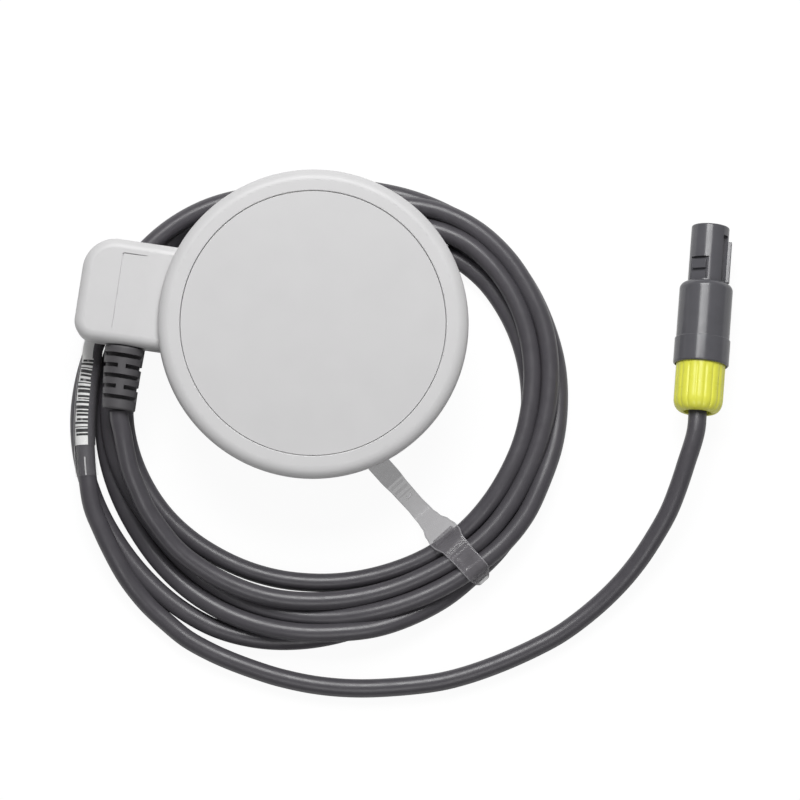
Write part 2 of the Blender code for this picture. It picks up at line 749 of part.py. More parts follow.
def electronics(board_finish, can_finish, chip_finish, screw_finish):
    places = screw_places(BOARD_SCREW_CIRCLE, BOARD_SCREW_ANGLES)
    board = cylinders(
        "circuit_board", [(0.0, 0.0)], BOARD_RADIUS, BOARD_Z, BOARD_TOP_Z, 40, False, board_finish
    )
    drill = cylinders(
        "board_drill", places, SMALL_SCREW_RADIUS + CLEAR, BOARD_Z - WALL, BOARD_TOP_Z + WALL, 10
    )
    boolean(board, drill, "DIFFERENCE")
    seat = BOARD_TOP_Z
    for k, place in enumerate(places):
        length = BOARD_THICKNESS + BOARD_LIFT - CLEAR
        small_screw(f"board_screw_{k + 1}", place, seat, length, screw_finish)
    base = seat + CLEAR
    x, y, height = SHIELD_SIZE
    can = boxes(
        "shield_can", [((-x / 2, -y / 2, base), (x / 2, y / 2, base + height), None)], False, can_finish
    )
    wall = SHIELD_WALL
    low = (-x / 2 + wall, -y / 2 + wall, base - wall)
    high = (x / 2 - wall, y / 2 - wall, base + height - wall)
    boolean(can, boxes("shield_hollow", [(low, high, None)]), "DIFFERENCE")
    x, y, height = CHIP_SIZE
    chip = [((-x / 2, -y / 2, base), (x / 2, y / 2, base + height), None)]
    boxes("amplifier_chip", chip, False, chip_finish)
    x, y, height = HEADER_SIZE
    low = (HEADER_CENTRE_X - x / 2, -y / 2, base)
    high = (HEADER_CENTRE_X + x / 2, y / 2, base + height)
    boxes("board_header", [(low, high, None)], False, chip_finish)


# Cable housing fittings

def strain_relief(finish):
    """Tapered boot, slotted in turn at top and bottom and at its sides, held by its flange."""
    neck = WALL + 2 * CLEAR
    end = RELIEF_LENGTH
    profile = [
        (0.0, end),
        (RELIEF_END_RADIUS - RELIEF_END_EDGE, end),
        (RELIEF_END_RADIUS, end - RELIEF_END_EDGE),
        (RELIEF_ROOT_RADIUS, 0.0),
        (RELIEF_NECK_RADIUS, 0.0),
        (RELIEF_NECK_RADIUS, -neck),
        (RELIEF_FLANGE_RADIUS, -neck),
        (RELIEF_FLANGE_RADIUS, -neck - RELIEF_FLANGE_THICKNESS),
        (0.0, -neck - RELIEF_FLANGE_THICKNESS),
    ]
    made = turned("strain_relief", profile, finish, 20)
    frame = relief_frame(RELIEF_ROOT_Y)
    made.matrix_world = frame
    wide = RELIEF_ROOT_RADIUS + WALL
    half = RELIEF_SLOT_WIDTH / 2
    gap = RELIEF_BRIDGE / 2
    cuts = []
    for k in range(RELIEF_SLOTS):
        z = RELIEF_FIRST_SLOT + k * RELIEF_SLOT_PITCH
        for side in (-1, 1):
            low, high = sorted((side * gap, side * wide))
            if k % 2:
                cuts.append(((low, -wide, z - half), (high, wide, z + half), frame))
            else:
                cuts.append(((-wide, low, z - half), (wide, high, z + half), frame))
    boolean(made, boxes("relief_slots", cuts), "DIFFERENCE")
    core_end = RELIEF_ROOT_Y - RELIEF_FIRST_SLOT - RELIEF_SLOTS * RELIEF_SLOT_PITCH
    core = along_relief("relief_core", RELIEF_CORE_RADIUS, RELIEF_ROOT_Y + CLEAR, core_end, 20)
    boolean(made, core, "UNION")
    return made


def inner_lead(finish):
    """Stripped end of the cable, from the strain relief's flange to the board's header."""
    start = TAB_NEAR_Y + WALL + CLEAR + RELIEF_FLANGE_THICKNESS + CLEAR
    header_z = BOARD_TOP_Z + CLEAR + HEADER_SIZE[2] / 2
    header_x = HEADER_CENTRE_X - HEADER_SIZE[0] / 2 - CLEAR
    past_clamp = CLAMP_Y + INNER_LEAD_SWING
    route = [
        (RELIEF_X, start, SPLIT_Z),
        (RELIEF_X, CLAMP_Y, SPLIT_Z),
        (RELIEF_X + INNER_LEAD_BEND, past_clamp, SPLIT_Z),
        (RELIEF_X + INNER_LEAD_RUN, past_clamp, SPLIT_Z),
        (header_x - INNER_LEAD_STRAIGHT, 0.0, header_z),
        (header_x, 0.0, header_z),
    ]
    return tube("inner_lead", smooth_path(route, INNER_LEAD_STEP), INNER_LEAD_RADIUS, finish)


def cable_clamp(finish, screw_finish):
    """Bar across the inner lead, on two posts."""
    half_x = CLAMP_LENGTH / 2
    half_y = CLAMP_WIDTH / 2
    low = (RELIEF_X - half_x, CLAMP_Y - half_y, CLAMP_Z)
    high = (RELIEF_X + half_x, CLAMP_Y + half_y, CLAMP_Z + CLAMP_THICKNESS)
    made = boxes("cable_clamp", [(low, high, None)], False, finish)
    hole = SMALL_SCREW_RADIUS + CLEAR
    drill = cylinders("bar_drill", clamp_places(), hole, CLAMP_Z - WALL, CLAMP_Z + 2 * WALL, 10)
    boolean(made, drill, "DIFFERENCE")
    for k, place in enumerate(clamp_places()):
        name = f"clamp_screw_{k + 1}"
        length = CLAMP_THICKNESS + CLAMP_Z - SPLIT_Z + WALL
        small_screw(name, place, CLAMP_Z + CLAMP_THICKNESS, length, screw_finish)


# Lead

def relief_end():
    return Vector((RELIEF_X, RELIEF_ROOT_Y - RELIEF_LENGTH - CLEAR, SPLIT_Z))


def cable_lead(finish):
    start = relief_end()
    straight = start + Vector((0.0, -CABLE_RADIUS, 0.0))
    lying = COIL_TOP_Z + CLEAR + CABLE_RADIUS
    route = [Vector((x, y, lying + lift)) for x, y, lift in LEAD_ROUTE]
    path = smooth_path([straight, *route], PATH_STEP)
    return tube("cable_lead", [start, *path], CABLE_RADIUS, finish)


def cable_coil(finish):
    """Outer shape of the five turns."""
    corner = COIL_CORNER
    low, high = COIL_BOTTOM_Z, COIL_TOP_Z
    inner, outer = COIL_INNER_RADIUS, COIL_OUTER_RADIUS
    profile = arc(outer - corner, high - corner, corner, 90.0, 0.0, 2)
    profile += arc(outer - corner, low + corner, corner, 0.0, -90.0, 2)
    profile += arc(inner + corner, low + corner, corner, -90.0, -180.0, 2)
    profile += arc(inner + corner, high - corner, corner, 180.0, 90.0, 2)
    made = turned("cable_coil", profile, finish, COIL_STEPS)
    made.location = (*COIL_CENTRE, 0.0)
    return made


def tail_path():
    """The tail's points, the last ones straight into the plug."""
    frame = plug_frame()
    inside = frame @ Vector((0.0, 0.0, PLUG_LENGTH - CABLE_IN_NUT))
    outside = frame @ Vector((0.0, 0.0, PLUG_LENGTH + CABLE_DIAMETER))
    beyond = frame @ Vector((0.0, 0.0, PLUG_LENGTH + 3.2 * CABLE_DIAMETER))
    beyond.z -= 0.0010
    return smooth_path([*TAIL_ROUTE, beyond, outside, inside], PATH_STEP)


def wrap(name, path, inner, wall, finish):
    """A thin sleeve round a stretch of the cable, open at both ends."""
    made = tube(name, path, inner, finish, caps=False)
    shell = made.modifiers.new("Wall", "SOLIDIFY")
    shell.thickness = wall
    shell.offset = 1.0
    shell.use_even_offset = True
    return made


def label_and_sleeve(path, label_finish, sleeve_finish):
    inner = CABLE_RADIUS + LABEL_GAP
    wrap("cable_label", path[LABEL_START : LABEL_END + 1], inner, LABEL_WALL, label_finish)
    over = inner + LABEL_WALL + LABEL_GAP
    wrap("label_sleeve", path[LABEL_START - 1 : SLEEVE_END + 1], over, SLEEVE_WALL, sleeve_finish)


# Strap

def strap_frame():
    """Frame on the coil's axis: X out along the strap, Y up, Z across the strap."""
    turn = Matrix.Rotation(math.radians(STRAP_ANGLE), 4, "Z")
    stand = Matrix.Rotation(math.radians(90.0), 4, "X")
    return Matrix.Translation((*COIL_CENTRE, 0.0)) @ turn @ stand


def strap_piece(name, outline, width, finish=None, cutter=True):
    made = prism(name, outline, -width / 2, width / 2, finish, cutter)
    made.data.transform(strap_frame())
    return made


def rounded_section(grow, corner_steps):
    """The coil's section, grown on all sides."""
    inner, outer = COIL_INNER_RADIUS - grow, COIL_OUTER_RADIUS + grow
    low, high = COIL_BOTTOM_Z - grow, COIL_TOP_Z + grow
    corner = COIL_CORNER + grow
    points = arc(outer - corner, low + corner, corner, -90.0, 0.0, corner_steps)
    points += arc(outer - corner, high - corner, corner, 0.0, 90.0, corner_steps)
    points += arc(inner + corner, high - corner, corner, 90.0, 180.0, corner_steps)
    points += arc(inner + corner, low + corner, corner, 180.0, 270.0, corner_steps)
    return points


def cable_strap(finish):
    """One moulded strap: a band round the coil, a wide head inside it and a ridged tail."""
    thick = STRAP_THICKNESS
    outside = rounded_section(CLEAR + thick, 4)
    made = strap_piece("cable_strap", outside, STRAP_BAND_WIDTH, finish, False)
    inside = strap_piece("strap_inside", rounded_section(CLEAR, 4), 2 * STRAP_HEAD_WIDTH)
    head_x = COIL_INNER_RADIUS - CLEAR
    crown = COIL_TOP_Z + CLEAR
    head = [
        (head_x + COIL_CORNER, crown),
        (head_x + COIL_CORNER, crown + thick),
        (head_x, crown + thick),
        (head_x - STRAP_HEAD_REACH, crown - 3 * thick),
        (head_x - STRAP_HEAD_REACH, crown - 4 * thick),
        (head_x, crown - thick),
    ]
    boolean(made, strap_piece("strap_head", head, STRAP_HEAD_WIDTH), "UNION")
    boolean(made, strap_piece("strap_tail", tail_outline(head_x), STRAP_TAIL_WIDTH), "UNION")
    boolean(made, inside, "DIFFERENCE")
    return made


def tail_outline(head_x):
    """Side view of the strap's tail, flat on the table and then up to the band."""
    thick = STRAP_THICKNESS
    low = COIL_BOTTOM_Z - CLEAR - thick
    tip = head_x - STRAP_TAIL_LENGTH
    bend = head_x - 1.8 * STRAP_HEAD_REACH
    join_z = COIL_TOP_Z - 5.5 * thick
    high = low + thick
    rise_x = head_x - STRAP_HEAD_REACH
    slope = STRAP_RIDGE_PITCH / 4
    top = [(tip, high)]
    for k in range(STRAP_RIDGES):
        x = bend - (STRAP_RIDGES - k + 1) * STRAP_RIDGE_PITCH
        top += [(x, high), (x + slope, high + STRAP_RIDGE_HEIGHT), (x + 2 * slope, high)]
    top += [(bend, high), (rise_x, join_z), (head_x, join_z + 1.2 * thick)]
    under = [(head_x, join_z), (rise_x, join_z - thick), (bend + thick / 2, low), (tip, low)]
    return top + under


# Plug

def plug_frame():
    """Frame of the plug: Z from the nose back to the cable, Y up, X to its right from above."""
    heading = math.radians(PLUG_HEADING)
    flat = Vector((math.cos(heading), math.sin(heading), 0.0))
    along = flat * math.cos(PLUG_TILT) + Vector((0.0, 0.0, math.sin(PLUG_TILT)))
    up = Vector((0.0, 0.0, math.cos(PLUG_TILT))) - flat * math.sin(PLUG_TILT)
    right = up.cross(along)
    turn = Matrix((right, up, along)).transposed().to_4x4()
    height = NOSE_RADIUS * math.cos(PLUG_TILT) + CLEAR
    return Matrix.Translation((*PLUG_TIP, height)) @ turn


def in_plug(made):
    made.matrix_world = plug_frame()
    return made


def around_plug(angle):
    """Frame turned about the plug's axis: its Y points out at an angle from the top."""
    return plug_frame() @ Matrix.Rotation(math.radians(-angle), 4, "Z")


def latch_body(finish):
    """Nose with its key, keyway and latch window, and the inner body behind the shoulder."""
    rear = NUT_START - CLEAR
    bore = NOSE_BORE_RADIUS
    profile = [
        (bore, 0.0),
        (NOSE_RADIUS - NOSE_EDGE, 0.0),
        (NOSE_RADIUS, NOSE_EDGE),
        (NOSE_RADIUS, SHOULDER),
        (INNER_BODY_RADIUS, SHOULDER),
        (INNER_BODY_RADIUS, rear),
        (bore, rear),
    ]
    made = in_plug(turned("latch_body", profile, finish, PLUG_STEPS))
    front = NOSE_REACH - CLEAR
    floor = NOSE_RADIUS - LATCH_DEPTH
    out = 2 * NOSE_RADIUS
    half = WINDOW_WIDTH / 2
    window = around_plug(WINDOW_ANGLE)
    keyway = around_plug(KEYWAY_ANGLE)
    half_way = KEYWAY_WIDTH / 2
    cuts = [
        ((-half, floor, WINDOW_START), (half, out, front), window),
        ((-half_way, floor, KEYWAY_START), (half_way, out, front), keyway),
    ]
    boolean(made, boxes("latch_cuts", cuts), "DIFFERENCE")
    tooth = half * 0.78
    low = floor - LATCH_DEPTH / 2
    start = WINDOW_START + LATCH_GAP
    end = start + LATCH_LENGTH
    latch = [
        ((-tooth, low, start), (tooth, NOSE_RADIUS - CLEAR / 2, end), window),
        ((-tooth, low, end + LATCH_GAP), (tooth, NOSE_RADIUS - CLEAR, front), window),
    ]
    half_key = KEY_WIDTH / 2
    side = around_plug(KEY_ANGLE)
    key = ((-half_key, floor, KEY_START), (half_key, NOSE_RADIUS + KEY_HEIGHT, front), side)
    boolean(made, boxes("latch_and_key", [*latch, key]), "UNION")
    return made


def release_sleeve(finish):
    """Outer sleeve that is pulled back to free the latch, with a wider collar at its rear."""
    front = NOSE_REACH
    rear = NOSE_REACH + SLEEVE_LENGTH
    collar = rear - COLLAR_LENGTH
    edge = SLEEVE_FRONT_ROUND
    nose = arc(SLEEVE_FRONT_RADIUS - edge, front + edge, edge, -75.0, 0.0, 4)
    profile = [
        (SLEEVE_FRONT_BORE, front),
        *nose,
        (SLEEVE_FRONT_RADIUS, collar - 0.0002),
        (COLLAR_RADIUS, collar),
        (COLLAR_RADIUS, rear - 0.0006),
        (SLEEVE_REAR_BORE + 0.0002, rear),
        (SLEEVE_REAR_BORE, rear - 0.0002),
        (SLEEVE_REAR_BORE, BORE_STEP),
        (SLEEVE_MID_BORE, BORE_STEP),
        (SLEEVE_MID_BORE, NOSE_REACH + SLEEVE_LIP),
        (SLEEVE_FRONT_BORE, NOSE_REACH + SLEEVE_LIP),
    ]
    return in_plug(turned("release_sleeve", profile, finish, PLUG_STEPS))


def collet_nut(finish):
    """Coloured nut that clamps the cable, fluted lengthways and round at its end."""
    round_start = PLUG_LENGTH - NUT_ROUND
    dome = []
    for k in range(1, 5):
        turn = math.radians(90.0 * k / 4)
        radius = NUT_END_RADIUS + (NUT_RADIUS - NUT_END_RADIUS) * math.cos(turn)
        dome.append((radius, round_start + NUT_ROUND * math.sin(turn)))
    inner = COLLET_RADIUS + CLEAR
    lip = PLUG_LENGTH - NUT_ROUND
    profile = [(inner, NUT_START), (NUT_RADIUS, NUT_START), (NUT_RADIUS, round_start), *dome]
    profile += [(NUT_HOLE_RADIUS, PLUG_LENGTH), (NUT_HOLE_RADIUS, lip), (inner, lip)]
    made = in_plug(turned("collet_nut", profile, finish, 2 * NUT_FLUTES))
    groove = 0.0020
    bm = bmesh.new()
    for k in range(NUT_FLUTES):
        out = Vector((0.0, NUT_RADIUS + groove - FLUTE_DEPTH, 0.0))
        start = NOSE_REACH + SLEEVE_LENGTH
        place = around_plug(360.0 * k / NUT_FLUTES) @ Matrix.Translation(out)
        middle = Matrix.Translation((0.0, 0.0, (start + PLUG_LENGTH) / 2 + NUT_ROUND / 4))
        bmesh.ops.create_cone(
            bm,
            cap_ends=True,
            segments=8,
            radius1=groove,
            radius2=groove,
            depth=PLUG_LENGTH - start + NUT_ROUND / 2 - 2 * CLEAR,
            matrix=place @ middle,
        )
    boolean(made, from_bmesh(bm, "nut_flutes", cutter=True), "DIFFERENCE")
    return made


def plug_inside(collet_finish, insert_finish, pin_finish):
    """Cable collet, contact carrier and its pins."""
    start = NUT_START + CLEAR
    lip = PLUG_LENGTH - NUT_ROUND
    rear = PLUG_LENGTH - CABLE_IN_NUT - CLEAR
    profile = [
        (COLLET_BORE_RADIUS, start),
        (COLLET_RADIUS, start),
        (COLLET_RADIUS, lip - CLEAR),
        (COLLET_NOSE_RADIUS, lip - CLEAR),
        (COLLET_NOSE_RADIUS, rear),
        (COLLET_BORE_RADIUS, rear),
    ]
    in_plug(turned("cable_collet", profile, collet_finish, 24))
    places = screw_places(PIN_CIRCLE, [360.0 * k / PIN_COUNT for k in range(PIN_COUNT)])
    radius = NOSE_BORE_RADIUS - CLEAR
    back = NUT_START - 2 * CLEAR
    carrier = cylinders(
        "contact_insert", [(0.0, 0.0)], radius, INSERT_SETBACK, back, 24, False, insert_finish
    )
    holes = cylinders("pin_holes", places, PIN_RADIUS + CLEAR, INSERT_SETBACK - WALL, back + WALL, 8)
    holes.matrix_world = plug_frame()
    boolean(in_plug(carrier), holes, "DIFFERENCE")
    for k, place in enumerate(places):
        pin = cylinders(
            f"contact_pin_{k + 1}",
            [place],
            PIN_RADIUS,
            INSERT_SETBACK - PIN_REACH,
            back,
            8,
            False,
            pin_finish,
        )
        in_plug(pin)


def build():
    casing = material("casing", CASING_GREY, 0.42)
    window = material("window", (0.60, 0.60, 0.61), 0.38)
    stud = material("stud", CASING_GREY, 0.45)
    steel = material("steel", STEEL, 0.3, 1.0)
    seal = material("seal", (0.05, 0.05, 0.05), 0.7)
    cable = material("cable", CABLE_GREY, 0.45)
    plug = material("plug_plastic", PLUG_GREY, 0.25)
    gold = material("gold", GOLD, 0.25, 1.0)

    front_shell(casing)
    rear_shell(casing)
    face_plate(window)
    belt_stud(stud)
    seal_ring(seal)
    seat = shell_screw_seat()
    depth = LEDGE_BOTTOM_Z - seat - 2 * CLEAR
    height = SCREW_HEAD_HEIGHT
    for k, place in enumerate(screw_places(SCREW_CIRCLE, SHELL_SCREW_ANGLES)):
        name = f"shell_screw_{k + 1}"
        screw(name, place, seat, depth, SHELL_SCREW_RADIUS, SHELL_SCREW_HEAD, height, 1, steel)
    depth = FLOOR_Z - STUD_HEAD_HEIGHT - 2 * CLEAR
    middle = (0.0, 0.0)
    screw("stud_screw", middle, FLOOR_Z, depth, STUD_SCREW_RADIUS, STUD_SCREW_HEAD, height, -1, steel)

    crystals(
        material("carrier", (0.75, 0.74, 0.70), 0.5),
        material("ceramic", (0.80, 0.72, 0.55), 0.35),
        material("foam", (0.12, 0.12, 0.13), 0.9),
    )
    electronics(
        material("board", (0.03, 0.20, 0.09), 0.4),
        material("tinplate", (0.62, 0.62, 0.60), 0.3, 1.0),
        material("chip", (0.03, 0.03, 0.03), 0.5),
        steel,
    )

    strain_relief(cable)
    inner_lead(material("inner_lead", (0.55, 0.55, 0.56), 0.5))
    cable_clamp(material("clamp", (0.15, 0.15, 0.16), 0.5), steel)
    cable_lead(cable)
    cable_coil(cable)
    path = tail_path()
    tube("cable_tail", path, CABLE_RADIUS, cable)
    label = material("label", (0.85, 0.85, 0.84), 0.4)
    label_and_sleeve(path, label, material("clear", (0.85, 0.86, 0.87), 0.1, 0.0, 0.3))
    cable_strap(material("strap", (0.75, 0.76, 0.78), 0.2, 0.0, 0.4))

    latch_body(plug)
    release_sleeve(plug)
    collet_nut(material("nut", NUT_YELLOW, 0.25))
    collet = material("collet", (0.7, 0.7, 0.68), 0.5)
    plug_inside(collet, material("insert", (0.05, 0.05, 0.055), 0.4), gold)


def shade_round():
    """Puts each part's modifiers into its mesh, then shades its round faces smooth."""
    bpy.context.view_layer.update()
    view = bpy.context.evaluated_depsgraph_get()
    parts = list(PARTS.objects)
    meshes = [bpy.data.meshes.new_from_object(part.evaluated_get(view)) for part in parts]
    for part, mesh in zip(parts, meshes):
        part.modifiers.clear()
        part.data = mesh
        mesh.shade_smooth()
        mesh.set_sharp_from_angle(angle=math.radians(SMOOTH_ANGLE))
    for cutter in list(CUTTERS.objects):
        bpy.data.objects.remove(cutter, do_unlink=True)


build()
shade_round()
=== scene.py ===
import json
import math

import bmesh
import bpy
from mathutils import Matrix, Vector

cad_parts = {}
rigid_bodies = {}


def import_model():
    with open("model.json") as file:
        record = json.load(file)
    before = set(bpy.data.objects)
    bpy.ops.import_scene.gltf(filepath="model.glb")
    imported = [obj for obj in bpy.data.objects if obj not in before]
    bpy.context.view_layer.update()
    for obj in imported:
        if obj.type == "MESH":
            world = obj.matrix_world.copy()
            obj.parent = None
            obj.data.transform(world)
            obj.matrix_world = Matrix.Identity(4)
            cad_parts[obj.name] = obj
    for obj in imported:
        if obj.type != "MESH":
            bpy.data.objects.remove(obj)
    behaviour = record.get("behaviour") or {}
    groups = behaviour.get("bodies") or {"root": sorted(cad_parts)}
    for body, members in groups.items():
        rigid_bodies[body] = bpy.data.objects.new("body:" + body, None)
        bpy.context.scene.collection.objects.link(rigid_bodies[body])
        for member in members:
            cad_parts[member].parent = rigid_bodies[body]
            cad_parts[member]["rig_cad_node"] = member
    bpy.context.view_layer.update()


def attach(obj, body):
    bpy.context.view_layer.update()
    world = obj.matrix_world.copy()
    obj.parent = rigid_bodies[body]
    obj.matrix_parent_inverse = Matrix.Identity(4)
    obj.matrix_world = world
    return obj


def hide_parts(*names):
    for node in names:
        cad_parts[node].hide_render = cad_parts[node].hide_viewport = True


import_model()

MM = 0.001

# Camera, set from the disc, the tab and the plug in the photograph

ROLL = math.radians(8.5)
TILT = math.radians(5.0)
DISTANCE = 1.5
AIM = Vector((0.02492, -0.01562, 0.0200))
SENSOR = 36.0
FIELD = 0.1376  # width of the picture over the distance

RIGHT = Vector((math.cos(ROLL), math.sin(ROLL), 0.0))
AHEAD = Vector((-math.sin(ROLL), math.cos(ROLL), 0.0))
BACK = Vector((0.0, 0.0, math.cos(TILT))) - math.sin(TILT) * AHEAD
UP = math.cos(TILT) * AHEAD + Vector((0.0, 0.0, math.sin(TILT)))


def make_camera():
    data = bpy.data.cameras.new("camera")
    data.sensor_width = SENSOR
    data.lens = SENSOR / FIELD
    data.clip_start = 0.05
    data.clip_end = 20.0
    camera = bpy.data.objects.new("camera", data)
    turn = Matrix((RIGHT, UP, BACK)).transposed().to_4x4()
    camera.matrix_world = Matrix.Translation(AIM + DISTANCE * BACK) @ turn
    bpy.context.scene.collection.objects.link(camera)
    bpy.context.scene.camera = camera
    bpy.context.scene.view_settings.view_transform = "Standard"


# Sizes in millimetres, as in the part

CLEAR = 0.3
CABLE_R = 2.4

DISC_R, DRAFT, BACK_Z, FACE_Z, SPLIT_Z = 40.0, 0.6, 11.0, 29.0, 18.0
WALL, FRONT_EDGE, BACK_EDGE = 2.0, 3.0, 3.6
WINDOW_R, WINDOW_TOP, WINDOW_THICK, WINDOW_SOFT = 34.1, 28.75, 1.55, 0.12
RIM_GAP, RIM_SOFT = 0.12, 0.30
LEDGE_TOP, LEDGE_BOTTOM = 26.9, 24.5
CAVITY_R = 37.4

SCREW_CIRCLE, SCREW_ANGLES = 32.8, (40, 140, 220, 320)
SCREW_DRILL, SCREW_SINK, SCREW_SEAT = 1.4, 2.3, 1.2
FRONT_BOSS_R, REAR_BOSS_R = 2.4, 2.9
LEDGE_R = SCREW_CIRCLE - 2.8
BOARD_CIRCLE, BOARD_ANGLES = 21.5, (90, 210, 330)
PILLAR_R, PILLAR_DRILL, PILLAR_HEIGHT = 2.2, 1.2, 3.2
STUD_DRILL = 1.9
CLAMP_APART, CLAMP_BEHIND, CLAMP_RISE = 4.6, 5.0, 1.2

TAB_END, TAB_NEAR, TAB_FAR, TAB_TOP, TAB_BOTTOM = -61.2, -12.2, 14.8, 24.5, 11.5
TAB_EDGE, FAR_CORNER, NEAR_CORNER, ROOT_FILLET = 2.6, 8.5, 5.0, 5.0
PANEL_IN, PANEL_EDGE, PANEL_CORNER, PANEL_DEPTH, PANEL_REACH = 10.0, 3.6, 0.8, 0.16, 7.5
GROOVE_WIDE, GROOVE_DEPTH = 0.26, 0.42

RELIEF_X, RELIEF_Y, RELIEF_LENGTH, RELIEF_BEND = -47.4, -12.5, 16.3, 0.8
RELIEF_ROOT_R, RELIEF_TIP_R, RELIEF_NECK_R, RELIEF_FLANGE_R, RELIEF_FLANGE = 5.2, 4.3, 3.4, 4.1, 1.8
RELIEF_SLOT, RELIEF_PITCH, RELIEF_SLOTS, SLOT_HALF, SLOT_BRIDGE = 2.4, 2.7, 5, 0.55, 1.0
CORE_ROOT_R, CORE_TIP_R, CORE_FLAT = 4.60, 4.02, 0.60
RELIEF_HOLE_R = 3.7

STRAP_AT, STRAP_TURN = (7.5, -19.7), -39.6
STRAP_SPAN = (20.0, 62.5)  # where the coil crosses the strap's plane
STRAP_OFF, STRAP_HALF, STRAP_HALF_UNDER = 0.5, 0.35, 0.14
STRAP_ROUND, STRAP_END_ROUND = 2.6, 3.0

PLUG_LENGTH, PLUG_SPLIT = 50.0, 32.9
NOSE_R, NOSE_BORE, NOSE_START, LATCH_END = 4.95, 3.8, 0.35, 15.2
LATCH_HALF, LATCH_START = 2.6, 9.2

# Turns of the latch window, the keyway and the key about the plug
WINDOW_TURN, KEYWAY_TURN, KEY_TURN = -33.0, 56.0, 84.0

# The lead, from the strain relief down to the coil, in millimetres
START = (
    (-46.5, -29.1, 18.0), (-46.1, -31.0, 17.9), (-45.0, -33.7, 17.6), (-43.4, -38.6, 16.4),
    (-41.5, -43.5, 15.1), (-38.8, -48.2, 13.6), (-35.7, -52.9, 12.1),
)

# Round the coil: radius and height at every step of its angle
COIL_AT = (7.9, -20.0)
FIRST_ANGLE, ANGLE_STEP = 230.0, 10.0
COIL = (
    (54.1, 9.8), (53.1, 8.7), (52.1, 8.0), (51.1, 7.5), (50.0, 7.3), (49.2, 7.1), (48.8, 6.9),
    (48.8, 6.9), (49.2, 7.0), (50.2, 7.3), (51.3, 7.4), (52.1, 7.3), (53.0, 7.3), (54.3, 7.4),
    (56.0, 7.5), (57.7, 7.5), (59.2, 7.5), (60.0, 7.5), (60.6, 7.5), (60.5, 7.5), (59.3, 7.5),
    (56.9, 7.7), (54.0, 8.1), (51.9, 8.1), (51.8, 7.7), (52.8, 7.5), (54.1, 7.4), (55.3, 7.4),
    (56.4, 7.3), (57.2, 7.3), (57.8, 7.2), (58.2, 7.2), (58.2, 7.2), (57.7, 7.0), (56.4, 6.5),
    (55.2, 5.7), (54.9, 4.5), (54.9, 3.8), (54.7, 3.7), (54.4, 4.0), (54.0, 4.8), (53.6, 6.1),
    (53.4, 7.4), (53.5, 7.9), (54.0, 7.9), (54.8, 7.8), (56.1, 7.5), (57.0, 7.3), (57.3, 6.8),
    (58.2, 5.6), (58.9, 4.3), (59.6, 3.4), (60.0, 2.9), (60.5, 2.7), (60.8, 2.7), (60.6, 2.7),
    (60.1, 2.7), (59.6, 2.7), (59.2, 2.7), (59.5, 2.7), (60.0, 2.7), (60.2, 2.7), (61.0, 2.7),
    (61.7, 2.7), (62.5, 2.7), (63.4, 2.7), (64.3, 2.7), (65.4, 2.7), (66.2, 2.7), (66.4, 2.7),
    (66.1, 2.7), (65.6, 2.7), (65.2, 2.7), (64.8, 2.7), (64.0, 2.7), (62.3, 2.7), (60.1, 2.7),
    (57.8, 2.7), (55.6, 2.7), (53.8, 2.7), (52.5, 2.7), (51.4, 2.7), (50.5, 2.7), (49.9, 2.7),
    (49.6, 2.7), (50.3, 2.7), (51.4, 2.7), (51.9, 2.7), (52.3, 2.7), (52.5, 2.7), (52.5, 2.7),
    (51.6, 2.7), (49.3, 2.7), (47.1, 2.7), (45.4, 2.7), (45.1, 2.7), (46.2, 2.7), (48.0, 2.7),
    (49.8, 2.7), (51.3, 2.7), (52.5, 2.7), (53.5, 2.7), (54.1, 2.7), (54.4, 2.7), (54.4, 2.7),
    (53.7, 2.7), (52.6, 2.7), (51.3, 2.7), (49.7, 2.7), (48.1, 2.7), (46.8, 2.7), (45.7, 2.7),
    (44.8, 2.7), (44.3, 2.7), (44.1, 2.8), (44.3, 3.0), (44.9, 3.5), (45.7, 4.2), (46.5, 5.2),
    (47.4, 6.4), (48.5, 7.2), (49.9, 7.4), (51.3, 7.4), (53.0, 7.3), (54.5, 7.3), (55.7, 7.4),
    (56.3, 7.5), (56.1, 7.4), (54.3, 7.3), (51.6, 6.2), (49.9, 4.7), (49.9, 3.7), (51.1, 3.0),
    (53.0, 2.8), (54.8, 2.7), (56.3, 2.7), (57.6, 2.7), (58.6, 2.7), (59.4, 2.7), (59.8, 2.7),
    (59.9, 2.7), (59.9, 2.7), (59.7, 2.7), (59.5, 2.8), (59.6, 3.3), (59.6, 4.2), (59.3, 5.1),
    (58.8, 6.1), (58.2, 7.1), (57.6, 7.4), (57.5, 6.7), (57.0, 5.2), (56.6, 4.0), (56.0, 3.2),
    (56.1, 2.8), (55.6, 2.7), (54.8, 2.7), (54.9, 2.7), (55.0, 2.7), (55.4, 2.7), (55.8, 2.7),
    (56.0, 2.7), (56.0, 2.7), (55.8, 2.7), (55.4, 2.7), (54.8, 2.8), (54.5, 3.4), (55.3, 4.9),
    (57.5, 6.7), (60.2, 7.4), (62.5, 7.3), (64.0, 7.2), (64.7, 7.3), (64.9, 7.4),
)

